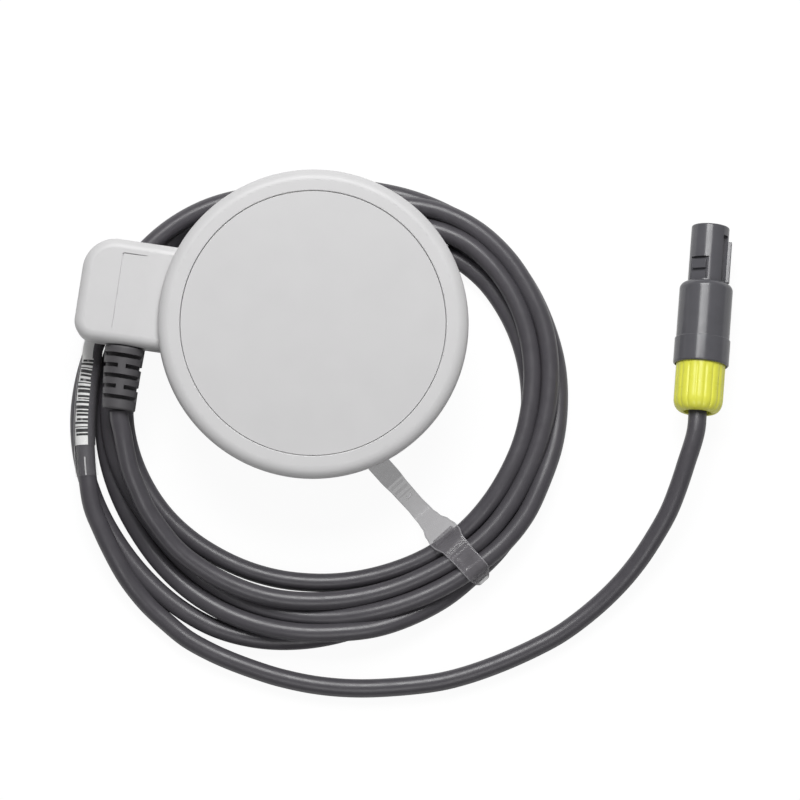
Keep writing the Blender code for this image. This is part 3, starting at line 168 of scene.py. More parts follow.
# Down past the tab, round the front and up to the plug
TAIL = (
    (-56.2, -12.4, 7.6), (-56.0, -17.4, 7.7), (-56.1, -22.4, 7.7), (-55.8, -27.7, 7.7), (-55.3, -32.6, 7.7),
    (-54.6, -37.0, 7.7), (-53.6, -42.1, 7.7), (-52.3, -47.4, 7.7), (-50.2, -53.8, 7.5), (-46.9, -59.4, 6.9),
    (-42.7, -65.6, 5.7), (-38.5, -70.9, 4.2), (-32.4, -76.6, 3.0), (-26.7, -80.5, 2.6), (-21.0, -83.9, 2.6),
    (-14.4, -86.4, 2.6), (-9.0, -87.9, 2.6), (-2.4, -89.3, 2.6), (4.8, -90.4, 2.6), (14.9, -90.9, 2.6),
    (26.6, -89.9, 2.6), (43.3, -86.1, 2.6), (50.8, -83.3, 2.6), (60.6, -78.2, 2.6), (70.2, -72.0, 2.7),
    (75.7, -67.7, 2.8), (82.8, -60.4, 3.3), (88.3, -53.3, 4.4), (92.4, -46.5, 5.9), (95.5, -39.8, 7.6),
    (98.0, -33.2, 9.2), (99.5, -26.8, 10.5), (100.6, -20.4, 11.4),
)


# Meshes

def link(name, mesh, material=None):
    made = bpy.data.objects.new(name, mesh)
    bpy.context.scene.collection.objects.link(made)
    if material:
        mesh.materials.append(material)
    return made


def to_object(bm, name, material=None, at=None):
    """Closes a mesh made in millimetres and puts it in the scene in metres."""
    bmesh.ops.recalc_face_normals(bm, faces=bm.faces)
    bm.transform(Matrix.Diagonal((MM, MM, MM, 1.0)))
    if at:
        bm.transform(at)
    mesh = bpy.data.meshes.new(name)
    bm.to_mesh(mesh)
    bm.free()
    return link(name, mesh, material)


def arc(cx, cy, radius, start, end, steps):
    """Points on a circle between two angles in degrees."""
    turn = [math.radians(start + (end - start) * k / steps) for k in range(steps + 1)]
    return [(cx + radius * math.cos(a), cy + radius * math.sin(a)) for a in turn]


def lathe(name, profile, steps, material=None, at=None, shape=None):
    """Turns a profile of (radius, height) about Z; shape may move a point by its angle."""
    bm = bmesh.new()
    rings = []
    for r, z in profile:
        if r < 1e-6:
            rings.append([bm.verts.new((0.0, 0.0, z))])
            continue
        ring = []
        for k in range(steps):
            turn = 2 * math.pi * k / steps
            radius = shape(r, z, turn) if shape else r
            ring.append(bm.verts.new((radius * math.cos(turn), radius * math.sin(turn), z)))
        rings.append(ring)
    pairs = list(zip(rings, rings[1:]))
    if len(rings[0]) > 1 or len(rings[-1]) > 1:
        pairs.append((rings[-1], rings[0]))
    for a, b in pairs:
        if len(a) == 1 and len(b) == 1:
            continue
        for k in range(steps):
            j = (k + 1) % steps
            if len(a) == 1:
                bm.faces.new((a[0], b[k], b[j]))
            elif len(b) == 1:
                bm.faces.new((a[k], b[0], a[j]))
            else:
                bm.faces.new((a[k], b[k], b[j], a[j]))
    return to_object(bm, name, material, at)


def prism(name, outline, low, high, at=None):
    """An upright solid on an outline in plan."""
    bm = bmesh.new()
    under = [bm.verts.new((x, y, low)) for x, y in outline]
    over = [bm.verts.new((x, y, high)) for x, y in outline]
    bm.faces.new(under)
    bm.faces.new(over)
    for k in range(len(outline)):
        j = (k + 1) % len(outline)
        bm.faces.new((under[k], under[j], over[j], over[k]))
    return to_object(bm, name, at=at)


def box(name, low, high, at=None):
    outline = [(low[0], low[1]), (high[0], low[1]), (high[0], high[1]), (low[0], high[1])]
    return prism(name, outline, low[2], high[2], at)


def posts(name, places, radius, low, high, sides=32):
    """Round bars of one size at several places, in one mesh."""
    last = 360 - 360 / sides
    bm = bmesh.new()
    for one in [prism(name, arc(x, y, radius, 0, last, sides - 1), low, high) for x, y in places]:
        bm.from_mesh(one.data)
        bpy.data.objects.remove(one)
    mesh = bpy.data.meshes.new(name)
    bm.to_mesh(mesh)
    bm.free()
    return link(name, mesh)


def applied(target):
    """Puts an object's modifiers into its mesh."""
    bpy.context.view_layer.update()
    seen = target.evaluated_get(bpy.context.evaluated_depsgraph_get())
    mesh = bpy.data.meshes.new_from_object(seen)
    target.modifiers.clear()
    target.data = mesh
    return target


def combine(target, *steps):
    """Joins (+) or cuts (-) with other objects in turn, which are used up."""
    words = {"+": "UNION", "-": "DIFFERENCE"}
    for sign, other in steps:
        step = target.modifiers.new("step", "BOOLEAN")
        step.operation = words[sign]
        step.solver = "EXACT"
        step.object = other
    applied(target)
    for _, other in steps:
        bpy.data.objects.remove(other)
    return target


def rounded(target, width, segments):
    """Rounds an object's sharp edges, by a width in millimetres."""
    step = target.modifiers.new("edges", "BEVEL")
    step.width = width * MM
    step.segments = segments
    step.use_clamp_overlap = False
    step.limit_method = "ANGLE"
    step.angle_limit = math.radians(35.0)
    return applied(target)


def smooth(target, angle=32.0, weighted=True):
    """Smooth shading apart from edges sharper than an angle in degrees."""
    target.data.shade_smooth()
    target.data.set_sharp_from_angle(angle=math.radians(angle))
    if weighted:
        step = target.modifiers.new("normals", "WEIGHTED_NORMAL")
        step.keep_sharp = True
        step.weight = 100
        applied(target)
    return target


def finish_piece(target, nodes, body="root"):
    """Puts a piece on its body in place of the CAD nodes that it shows."""
    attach(target, body)
    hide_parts(*nodes)
    return target


# Paths

def run_lengths(path):
    """Distance along a path at each of its points."""
    runs = [0.0]
    for a, b in zip(path, path[1:]):
        runs.append(runs[-1] + (b - a).length)
    return runs


def smooth_path(route, step):
    """Even points, step apart in metres, on the smooth curve through a route in millimetres."""
    points = [Vector(p) * MM for p in route]
    ends = [2 * points[0] - points[1], *points, 2 * points[-1] - points[-2]]
    fine = []
    for k in range(1, len(ends) - 2):
        p = ends[k - 1 : k + 3]
        t = [0.0]
        for a, b in zip(p, p[1:]):
            t.append(t[-1] + (b - a).length ** 0.5)
        for j in range(20):
            u = t[1] + (t[2] - t[1]) * j / 20
            near = [p[i].lerp(p[i + 1], (u - t[i]) / (t[i + 1] - t[i])) for i in range(3)]
            mid = [near[i].lerp(near[i + 1], (u - t[i]) / (t[i + 2] - t[i])) for i in range(2)]
            fine.append(mid[0].lerp(mid[1], (u - t[1]) / (t[2] - t[1])))
    fine.append(points[-1])
    runs = run_lengths(fine)
    count = round(runs[-1] / step)
    path, k = [], 0
    for n in range(count + 1):
        want = runs[-1] * n / count
        while k < len(runs) - 2 and runs[k + 1] < want:
            k += 1
        path.append(fine[k].lerp(fine[k + 1], (want - runs[k]) / (runs[k + 1] - runs[k])))
    return path


def bridge(bm, a, b):
    """A band of faces between two rings of points."""
    for j in range(len(a)):
        i = (j + 1) % len(a)
        bm.faces.new((a[j], a[i], b[i], b[j]))


def along_at(path, k):
    return (path[min(k + 1, len(path) - 1)] - path[max(k - 1, 0)]).normalized()


def tube(name, path, radius, sides, material, inner=None):
    """A round cord, or a sleeve with a bore, whose rings start at their highest point."""
    bm = bmesh.new()
    shells = []
    for reach in (radius, inner) if inner else (radius,):
        rings = []
        for k, place in enumerate(path):
            along = along_at(path, k)
            side = along.cross(Vector((0.0, 0.0, 1.0))).normalized()
            up = side.cross(along)
            ring = []
            for j in range(sides):
                turn = 2 * math.pi * j / sides
                ring.append(bm.verts.new(place + reach * (up * math.cos(turn) + side * math.sin(turn))))
            rings.append(ring)
        shells.append(rings)
        for a, b in zip(rings, rings[1:]):
            bridge(bm, a, b)
    if inner:
        for end in (0, -1):
            bridge(bm, shells[0][end], shells[1][end])
    else:
        bm.faces.new(shells[0][0])
        bm.faces.new(shells[0][-1])
    bmesh.ops.recalc_face_normals(bm, faces=bm.faces)
    mesh = bpy.data.meshes.new(name)
    bm.to_mesh(mesh)
    bm.free()
    made = link(name, mesh, material)
    mesh.shade_smooth()
    mesh.set_sharp_from_angle(angle=math.radians(50))
    return made


# Plug frame: Z from the nose back to the cable, Y up, X to its right from above

PLUG_TIP = Vector((98.3, 42.8, 5.2136)) * MM
PLUG_ALONG = Vector((0.065787, -0.990464, 0.121054))
PLUG_UP = Vector((-0.008023, 0.120788, 0.992646))


def plug_frame(turn=0.0):
    right = PLUG_UP.cross(PLUG_ALONG)
    axes = Matrix((right, PLUG_UP, PLUG_ALONG)).transposed().to_4x4()
    return Matrix.Translation(PLUG_TIP) @ axes @ Matrix.Rotation(math.radians(-turn), 4, "Z")


def on_plug(distance):
    return (PLUG_TIP + PLUG_ALONG * distance * MM) / MM


# Materials

def material(name, colour, roughness, grain, grain_size, mottle, mottle_size, spread, metallic=0.0,
             **sockets):
    """A finish with fine grain, slow changes of colour and patches of gloss; sizes in millimetres."""
    made = bpy.data.materials.new(name)
    made.use_nodes = True
    nodes, links = made.node_tree.nodes, made.node_tree.links
    shader = nodes["Principled BSDF"]
    shader.inputs["Metallic"].default_value = metallic
    for socket, value in sockets.items():
        shader.inputs[socket.replace("_", " ")].default_value = value
    place = nodes.new("ShaderNodeTexCoord").outputs["Object"]

    def noise(size, detail):
        made_noise = nodes.new("ShaderNodeTexNoise")
        made_noise.inputs["Scale"].default_value = 1.0 / (size * MM)
        made_noise.inputs["Detail"].default_value = detail
        links.new(place, made_noise.inputs["Vector"])
        return made_noise.outputs["Fac"]

    def spread_to(value, low, high):
        step = nodes.new("ShaderNodeMapRange")
        step.inputs["From Min"].default_value = 0.3
        step.inputs["From Max"].default_value = 0.7
        step.inputs["To Min"].default_value = low
        step.inputs["To Max"].default_value = high
        links.new(value, step.inputs["Value"])
        return step.outputs["Result"]

    tint = nodes.new("ShaderNodeMix")
    tint.data_type = "RGBA"
    tint.inputs[6].default_value = (*[c * (1 - mottle) for c in colour], 1.0)
    tint.inputs[7].default_value = (*[min(c * (1 + mottle), 1.0) for c in colour], 1.0)
    links.new(spread_to(noise(mottle_size, 4.0), 0.0, 1.0), tint.inputs[0])
    links.new(tint.outputs[2], shader.inputs["Base Color"])
    links.new(spread_to(noise(mottle_size * 0.6, 5.0), roughness - spread, roughness + spread),
              shader.inputs["Roughness"])
    bump = nodes.new("ShaderNodeBump")
    bump.inputs["Distance"].default_value = grain * MM
    bump.inputs["Strength"].default_value = 1.0
    links.new(noise(grain_size, 3.0), bump.inputs["Height"])
    links.new(bump.outputs["Normal"], shader.inputs["Normal"])
    return made


CASING = material("casing_finish", (0.606, 0.602, 0.606), 0.44, 0.010, 0.35, 0.015, 9.0, 0.04)
WINDOW = material("window_finish", (0.592, 0.588, 0.592), 0.40, 0.006, 0.25, 0.012, 12.0, 0.05)
CABLE = material("cable_finish", (0.077, 0.073, 0.082), 0.34, 0.010, 0.30, 0.06, 4.0, 0.06)
BOOT = material("boot_finish", (0.084, 0.081, 0.086), 0.50, 0.012, 0.30, 0.06, 4.0, 0.06)
PLUG = material("plug_finish", (0.099, 0.098, 0.108), 0.20, 0.004, 0.40, 0.04, 5.0, 0.04)
NUT = material("nut_finish", (0.79, 0.79, 0.085), 0.30, 0.004, 0.40, 0.03, 4.0, 0.05)
LABEL = material("label_finish", (0.92, 0.92, 0.91), 0.35, 0.004, 0.20, 0.02, 3.0, 0.05)
INK = material("ink_finish", (0.012, 0.012, 0.013), 0.40, 0.004, 0.20, 0.10, 3.0, 0.05)
# Paler grey ink: painted highlight, the clear film's glare over the bars
GLARE_INK = material("ink_painted_glare_finish", (0.24, 0.24, 0.24), 0.40, 0.004, 0.20, 0.25, 0.5, 0.05)
CLEAR_FILM = material("film_finish", (0.45, 0.45, 0.46), 0.12, 0.010, 1.50, 0.10, 5.0, 0.04,
                      Alpha=0.05, Specular_IOR_Level=0.5)
# Pale half-clear streaks on the film: painted highlight
STREAK_HIGHLIGHT = material("streak_highlight_finish", (0.92, 0.92, 0.93), 0.25, 0.006, 0.80, 0.10, 3.0, 0.04, Alpha=0.50)
STRAP = material("strap_finish", (0.225, 0.215, 0.232), 0.16, 0.012, 1.40, 0.12, 3.0, 0.05, Alpha=0.42)
# Paler, less clear edges: painted highlight
STRAP_EDGE_HIGHLIGHT = material("strap_edge_highlight_finish", (0.40, 0.39, 0.41), 0.20, 0.008, 0.80, 0.10, 2.0, 0.06,
                      Alpha=0.55)
# Darker: painted shade, the disc's shadow on the strap's tail and shade on its ribs
STRAP_RIB_SHADE = material("strap_rib_shade_finish", (0.150, 0.142, 0.158), 0.20, 0.008, 0.60, 0.15, 2.0, 0.06,
                     Alpha=0.50)
# Near-white bar: painted highlight
STRAP_BAR_HIGHLIGHT = material("strap_bar_highlight_finish", (0.92, 0.91, 0.93), 0.25, 0.004, 0.50, 0.03, 2.0, 0.05,
                     Alpha=0.90)
STUD = material("stud_finish", (0.62, 0.62, 0.63), 0.40, 0.008, 0.35, 0.02, 6.0, 0.05)
STEEL = material("steel_finish", (0.56, 0.56, 0.57), 0.28, 0.004, 0.15, 0.05, 1.5, 0.08, 1.0)
SEAL = material("seal_finish", (0.04, 0.04, 0.042), 0.62, 0.010, 0.25, 0.10, 2.0, 0.08)
CARRIER = material("carrier_finish", (0.74, 0.73, 0.69), 0.50, 0.008, 0.30, 0.03, 4.0, 0.05)
CERAMIC = material("ceramic_finish", (0.80, 0.72, 0.56), 0.35, 0.006, 0.20, 0.04, 2.0, 0.06)
FOAM = material("foam_finish", (0.11, 0.11, 0.12), 0.90, 0.120, 0.60, 0.20, 1.0, 0.05)
BOARD = material("board_finish", (0.03, 0.19, 0.09), 0.38, 0.010, 0.80, 0.12, 2.5, 0.06)
TINPLATE = material("tinplate_finish", (0.64, 0.63, 0.60), 0.30, 0.004, 0.30, 0.06, 2.0, 0.10, 1.0)
CHIP = material("chip_finish", (0.028, 0.028, 0.028), 0.50, 0.006, 0.15, 0.10, 1.5, 0.06)
INNER = material("inner_lead_finish", (0.50, 0.50, 0.51), 0.40, 0.030, 0.30, 0.10, 1.2, 0.08)
CLAMP = material("clamp_finish", (0.15, 0.15, 0.16), 0.50, 0.008, 0.30, 0.06, 2.0, 0.05)
COLLET = material("collet_finish", (0.68, 0.68, 0.66), 0.45, 0.006, 0.30, 0.03, 2.0, 0.05)
INSERT = material("insert_finish", (0.045, 0.045, 0.050), 0.40, 0.006, 0.25, 0.08, 1.5, 0.06)
GOLD = material("gold_finish", (0.83, 0.62, 0.24), 0.25, 0.003, 0.15, 0.05, 0.8, 0.06, 1.0)


# The lead

def lead_route():
    route = list(START)
    for k, (r, z) in enumerate(COIL):
        turn = math.radians(FIRST_ANGLE + ANGLE_STEP * k)
        route.append((COIL_AT[0] + r * math.cos(turn), COIL_AT[1] + r * math.sin(turn), z))
    straight_in = [on_plug(PLUG_LENGTH + 2 * CABLE_R), on_plug(PLUG_LENGTH - 2.0)]
    return [*route, *TAIL, *straight_in]


LEAD = smooth_path(lead_route(), 0.0016)


def part_of_lead(start, end):
    """The stretch of the lead between the points nearest two places in plan, past the coil."""
    tail = range(len(LEAD) // 2, len(LEAD))
    ends = [min(tail, key=lambda k: (LEAD[k] - Vector(p) * MM).length) for p in (start, end)]
    return LEAD[ends[0] : ends[1] + 1]


def finer(path, step):
    return smooth_path([p / MM for p in path], step)


def make_lead():
    lead = tube("lead", LEAD, CABLE_R * MM, 20, CABLE)
    return finish_piece(lead, ["cable_lead", "cable_coil", "cable_tail"])


# Bars of the label and the gaps between them in turn, in rings of its mesh
BARS = (2, 1, 2, 2, 1, 1, 3, 1, 2, 2, 2, 1, 1, 2, 2, 1, 3, 2, 2, 1, 1, 1, 2, 2, 3, 1, 2, 1, 2, 2)
FIRST_BAR, BARE_END = 22, 11
LABEL_R, LABEL_BORE, LABEL_SIDES, LABEL_STEP = 2.60, 2.50, 60, 0.00030
COVER_R, COVER_BORE, COVER_SIDES, COVER_STEP = 3.00, 2.72, 48, 0.0008


def barred_rings(count):
    """The rings under a bar, with the bar's number."""
    barred = {}
    ring, number = FIRST_BAR, 0
    while ring <= count - BARE_END:
        width = BARS[number % len(BARS)]
        if number % 2 == 0:
            barred.update(dict.fromkeys(range(ring, ring + width), number))
        ring += width
        number += 1
    return barred


def make_label():
    """White wrap round the upper left of the lead, crossed by plain dark bars, bare at its ends; a paler
    core on some bars is painted highlight, the clear film's glare.
    """
    path = finer(part_of_lead((-56.2, -9.0, 7.6), (-54.3, -38.6, 7.7)), LABEL_STEP)
    made = tube("label", path, LABEL_R * MM, LABEL_SIDES, LABEL, LABEL_BORE * MM)
    for finish in (INK, GLARE_INK, CABLE):
        made.data.materials.append(finish)
    inked, glare_painted, uncovered = 1, 2, 3
    barred = barred_rings(len(path))
    # Angles are about the lead in degrees, 0 at its top
    for face in made.data.polygons[: (len(path) - 1) * LABEL_SIDES]:
        ring, turn = divmod(face.index, LABEL_SIDES)
        angle = 360.0 * turn / LABEL_SIDES
        if angle > 180:
            angle -= 360
        right_edge = -4 - 18 * math.sin(math.pi * min(1.0, ring / (0.72 * len(path))) / 2)
        left_edge = 112
        if angle < right_edge or angle > left_edge:
            face.material_index = uncovered
        elif ring in barred:
            number = barred[ring]
            bar_end = 52 + 7 * (number * 7 % 5)
            # Paler core on every fifth bar: painted highlight standing in for the film's glare
            glare_core = number % 5 == 0 and 6 < angle < 22 + 4 * (number * 5 % 3)
            if angle < bar_end:
                face.material_index = glare_painted if glare_core else inked
    return finish_piece(made, ["cable_label"])


def make_sleeve():
    """Clear film shrunk over the label, with a painted highlight streak down its side and one at its lower
    end.
    """
    path = finer(part_of_lead((-56.0, -6.5, 7.6), (-52.6, -45.6, 7.7)), COVER_STEP)
    made = tube("label_cover", path, COVER_R * MM, COVER_SIDES, CLEAR_FILM, COVER_BORE * MM)
    made.data.materials.append(STREAK_HIGHLIGHT)
    for face in made.data.polygons[: (len(path) - 1) * COVER_SIDES]:
        ring, turn = divmod(face.index, COVER_SIDES)
        # Faces that carry the painted highlight streaks
        lower_end = turn == 0 and ring > len(path) - 8
        side = turn in (9, 10) and 4 * ring > len(path)
        if lower_end or side:
            face.material_index = 1
    return finish_piece(made, ["label_sleeve"])


# Casing

def tab_outline(inset, root_x):
    """The tab in plan, drawn in by an inset and open towards the disc at root_x."""
    low, high, end = TAB_NEAR + inset, TAB_FAR - inset, TAB_END + inset
    near, far = NEAR_CORNER - inset, FAR_CORNER - inset
    points = arc(end + near, low + near, near, 270, 180, 16)
    points += arc(end + far, high - far, far, 180, 90, 24)
    return [(root_x, low), *points, (root_x, high)]


def circle(radius, angles):
    """Places on a circle about the disc's middle, at angles in degrees."""
    return [(radius * math.cos(math.radians(a)), radius * math.sin(math.radians(a))) for a in angles]


def root_fillet():
    """Fillet where the tab's far side meets the disc."""
    reach = DISC_R - DRAFT + ROOT_FILLET
    centre = -math.sqrt(reach**2 - (TAB_FAR + ROOT_FILLET) ** 2)
    towards = math.degrees(math.atan2(-(TAB_FAR + ROOT_FILLET), -centre))
    outline = arc(centre, TAB_FAR + ROOT_FILLET, ROOT_FILLET, -90, towards, 16)
    x, y = outline[-1]
    outline += [(x + 2, y - 1), (x + 2, TAB_FAR - 2), (centre, TAB_FAR - 1)]
    return prism("fillet", outline, TAB_BOTTOM + TAB_EDGE, SPLIT_Z + 2)


def closed_casing(name):
    """The casing's outside, as a solid disc and a solid tab to be joined."""
    side, foot = DISC_R, DISC_R - 2 * DRAFT
    profile = [(0.0, FACE_Z), *arc(side - FRONT_EDGE, FACE_Z - FRONT_EDGE, FRONT_EDGE, 90, 0, 14)]
    profile += [(side - DRAFT, SPLIT_Z), *arc(foot - BACK_EDGE, BACK_Z + BACK_EDGE, BACK_EDGE, 0, -90, 12)]
    profile.append((0.0, BACK_Z))
    made = lathe(name, profile, 240, CASING)
    tab = prism("tab", tab_outline(0.0, -DISC_R * 0.8), TAB_BOTTOM, TAB_TOP)
    rounded(tab, TAB_EDGE, 8)
    return made, tab


def tab_cavity():
    return prism("tab_cavity", tab_outline(WALL, -DISC_R * 0.85), TAB_BOTTOM + WALL, TAB_TOP - WALL)


def slab(low, high):
    """A block wider than the casing, to cut it at a height."""
    return box("slab", (-70.0, -70.0, low), (70.0, 70.0, high))


def relief_frame():
    """Boot frame: Z along the boot, away from the tab."""
    place = Matrix.Translation(Vector((RELIEF_X, RELIEF_Y, SPLIT_Z)) * MM)
    return place @ Matrix.Rotation(math.radians(90), 4, "X")


def relief_hole():
    return prism("relief_hole", arc(0, 0, RELIEF_HOLE_R, 0, 350, 35), -4.3, 1.7, relief_frame())


def make_front_shell():
    made, tab = closed_casing("front_casing")
    rim, soft = WINDOW_R + RIM_GAP, RIM_SOFT
    hollow = [
        (0.0, FACE_Z + WALL), (rim + soft + 1.5, FACE_Z + WALL), (rim + soft, FACE_Z + 0.02),
        *arc(rim + soft, FACE_Z - soft, soft, 90, 180, 5),
        (rim, LEDGE_TOP), (LEDGE_R, LEDGE_TOP), (LEDGE_R, LEDGE_BOTTOM), (CAVITY_R, LEDGE_BOTTOM),
        (CAVITY_R, SPLIT_Z - WALL), (0.0, SPLIT_Z - WALL),
    ]
    places = circle(SCREW_CIRCLE, SCREW_ANGLES)
    return smooth(combine(
        made,
        ("+", tab),
        ("-", lathe("hollow", hollow, 240)),
        ("-", tab_cavity()),
        ("+", posts("bosses", places, FRONT_BOSS_R, SPLIT_Z - WALL, LEDGE_BOTTOM + WALL / 2)),
        ("-", posts("drill", places, SCREW_DRILL, SPLIT_Z - 2 * WALL, LEDGE_BOTTOM - CLEAR)),
        ("-", relief_hole()),
        ("-", tab_panel()),
        ("-", tab_groove()),
        ("-", slab(BACK_Z - WALL, SPLIT_Z + CLEAR / 2)),
    ))


def tab_panel():
    """Field for a label, left bare: a shallow step that runs out towards the disc."""
    x0, y0, y1 = TAB_END + PANEL_IN, TAB_NEAR + PANEL_EDGE, TAB_FAR - PANEL_EDGE
    outline = [(x0 + PANEL_REACH, y0), (x0 + PANEL_REACH, y1)]
    outline += arc(x0 + PANEL_CORNER, y1 - PANEL_CORNER, PANEL_CORNER, 90, 180, 6)
    outline += arc(x0 + PANEL_CORNER, y0 + PANEL_CORNER, PANEL_CORNER, 180, 270, 6)
    made = prism("panel", outline, 0.0, TAB_TOP + WALL)
    slope = (PANEL_DEPTH + 0.02) / PANEL_REACH
    for point in made.data.vertices:
        if point.co.z < MM:
            point.co.z = (TAB_TOP - PANEL_DEPTH) * MM + (point.co.x - x0 * MM) * slope
    return made


def tab_groove():
    """Fine line round the field's corner, thinning out along both sides."""
    x0, y0, y1 = TAB_END + PANEL_IN - 0.1, TAB_NEAR + PANEL_EDGE + 0.2, TAB_FAR - PANEL_EDGE + 0.1
    outline = [(x0, y0), (x0 + GROOVE_WIDE / 2, y0), (x0 + GROOVE_WIDE, y0 + 6)]
    outline += [(x0 + GROOVE_WIDE, y1 - GROOVE_WIDE), (x0 + 3, y1 - GROOVE_WIDE)]
    outline += [(x0 + 6.4, y1 - GROOVE_WIDE / 2), (x0 + 6.4, y1), (x0 + 0.3, y1), (x0, y1 - 0.3)]
    return prism("groove", outline, TAB_TOP - GROOVE_DEPTH, TAB_TOP + WALL)


def make_rear_shell():
    made, tab = closed_casing("rear_casing")
    edge = BACK_EDGE - WALL / 2
    floor = BACK_Z + WALL
    hollow = [(0.0, FACE_Z - WALL), (CAVITY_R, FACE_Z - WALL)]
    hollow += [*arc(CAVITY_R - edge, floor + edge, edge, 0, -90, 6), (0.0, floor)]
    places = circle(SCREW_CIRCLE, SCREW_ANGLES)
    board = circle(BOARD_CIRCLE, BOARD_ANGLES)
    clamp_y = TAB_NEAR + WALL + RELIEF_FLANGE + CLAMP_BEHIND
    clamp = [(RELIEF_X - CLAMP_APART, clamp_y), (RELIEF_X + CLAMP_APART, clamp_y)]
    seat = BACK_Z + SCREW_SEAT + 2 * CLEAR
    top = SPLIT_Z + CLAMP_RISE
    return smooth(combine(
        made,
        ("+", tab),
        ("+", root_fillet()),
        ("-", lathe("hollow", hollow, 240)),
        ("-", tab_cavity()),
        ("+", posts("bosses", places, REAR_BOSS_R, floor - WALL / 2, SPLIT_Z + WALL)),
        ("+", posts("pillars", board, PILLAR_R, floor - WALL / 2, floor + PILLAR_HEIGHT)),
        ("-", posts("drill", places, SCREW_DRILL, BACK_Z - WALL, SPLIT_Z + 2 * WALL)),
        ("-", posts("sink", places, SCREW_SINK, BACK_Z - WALL, seat)),
        ("-", posts("board_drill", board, PILLAR_DRILL, floor + CLEAR, floor + 2 * PILLAR_HEIGHT)),
        ("-", posts("stud_hole", [(0.0, 0.0)], STUD_DRILL, BACK_Z - WALL, floor + WALL)),
        ("-", slab(SPLIT_Z - CLEAR / 2, FACE_Z + WALL)),
        ("-", relief_hole()),
        ("+", posts("clamp_posts", clamp, PILLAR_R, TAB_BOTTOM + WALL / 2, top)),
        ("-", posts("clamp_drill", clamp, PILLAR_DRILL, TAB_BOTTOM + WALL, top + WALL)),
    ))


def make_window():
    edge = arc(WINDOW_R - WINDOW_SOFT, WINDOW_TOP - WINDOW_SOFT, WINDOW_SOFT, 90, 0, 5)
    profile = [(0.0, WINDOW_TOP), *edge]
    profile += [(WINDOW_R, WINDOW_TOP - WINDOW_THICK), (0.0, WINDOW_TOP - WINDOW_THICK)]
    return smooth(lathe("contact_window", profile, 240, WINDOW))


def flattened(r, z, turn):
    return CORE_FLAT * r / math.hypot(CORE_FLAT * math.cos(turn), math.sin(turn))


def boot_slot(k, side):
    """Slot k, at the top and bottom of the boot or at its sides in turn."""
    z = RELIEF_SLOT + RELIEF_PITCH * k
    a, b = sorted((side * SLOT_BRIDGE, side * 7.0))
    low, high = ((a, -7), (b, 7)) if k % 2 else ((-7, a), (7, b))
    return box("slot", (*low, z - SLOT_HALF), (*high, z + SLOT_HALF), relief_frame())


def make_relief():
    """Slotted boot with a flange inside the tab, its core showing in the slots."""
    end, neck, flange = RELIEF_LENGTH, WALL + 2 * CLEAR, RELIEF_FLANGE_R
    profile = [(0.0, end), *arc(RELIEF_TIP_R - 0.6, end - 0.6, 0.6, 90, 0, 5)]
    profile += [*arc(RELIEF_ROOT_R - 0.5, 0.5, 0.5, 0, -90, 4), (RELIEF_NECK_R, 0.0)]
    profile += [(RELIEF_NECK_R, -neck), (flange, -neck)]
    profile += [(flange, -neck - RELIEF_FLANGE), (0.0, -neck - RELIEF_FLANGE)]
    made = lathe("cable_boot", profile, 72, BOOT, relief_frame())
    cuts = [("-", boot_slot(k, side)) for k in range(RELIEF_SLOTS) for side in (-1, 1)]
    core_end = RELIEF_SLOT + RELIEF_SLOTS * RELIEF_PITCH
    inside = [(0.0, CLEAR), (CORE_ROOT_R, CLEAR), (CORE_TIP_R, core_end), (0.0, core_end)]
    core = lathe("core", inside, 48, at=relief_frame(), shape=flattened)
    combine(made, *cuts, ("+", core))
    for point in made.data.vertices:
        along = max(0.0, (RELIEF_Y * MM - point.co.y) / (RELIEF_LENGTH * MM))
        point.co.x += RELIEF_BEND * MM * along**1.6
    return smooth(made)


# Strap

def strap_frame():
    """Strap frame: X out from the disc, Y up, the strap's width along Z."""
    turn = Matrix.Rotation(math.radians(STRAP_TURN), 4, "Z")
    stand = Matrix.Rotation(math.radians(90.0), 4, "X")
    return Matrix.Translation(Vector((*STRAP_AT, 0.0)) * MM) @ turn @ stand


def strands_at_strap():
    """Where the lead crosses the strap's plane: distance out and height, in millimetres."""
    inverse = strap_frame().inverted()
    seen = [inverse @ p / MM for p in LEAD]
    found = []
    for a, b in zip(seen, seen[1:]):
        if a.z * b.z < 0 and STRAP_SPAN[0] < a.x < STRAP_SPAN[1]:
            p = a.lerp(b, a.z / (a.z - b.z))
            found.append((p.x, p.y))
    return found


def turns_left(a, b, c):
    return (b[0] - a[0]) * (c[1] - a[1]) - (b[1] - a[1]) * (c[0] - a[0]) > 0


def hull(points):
    """The points of a set that a band stretched round it would touch."""
    points = sorted(set(points))
    halves = []
    for order in (points, points[::-1]):
        half = []
        for p in order:
            while len(half) > 1 and not turns_left(half[-2], half[-1], p):
                half.pop()
            half.append(p)
        halves.append(half[:-1])
    return halves[0] + halves[1]


def ribbon_line():
    """Middle line of the strap in its plane: tail, paddle, over the coil, round and back."""
    skin = arc(0, 0, CABLE_R + STRAP_OFF, 0, 350, 35)
    loop = hull([(round(x + dx, 4), round(z + dz, 4)) for x, z in strands_at_strap() for dx, dz in skin])
    loop.reverse()
    left = min(x for x, _ in loop)
    high = max(z for _, z in loop)
    near_top = [k for k, (x, z) in enumerate(loop) if z > high - 1.6 and x < left + 12]
    start = min(near_top, key=lambda k: loop[k][0])
    loop = loop[start:] + loop[:start]
    around = [(x, max(z, 0.16)) for x, z in loop]
    x0, z0 = around[0]
    tail = [(x0 - 34.5, 0.40), (x0 - 24.0, 0.40), (x0 - 17.0, 0.45), (x0 - 13.0, 1.0), (x0 - 9.5, 2.9),
            (x0 - 6.0, 5.4), (x0 - 2.8, z0 - 0.9)]
    return tail, around


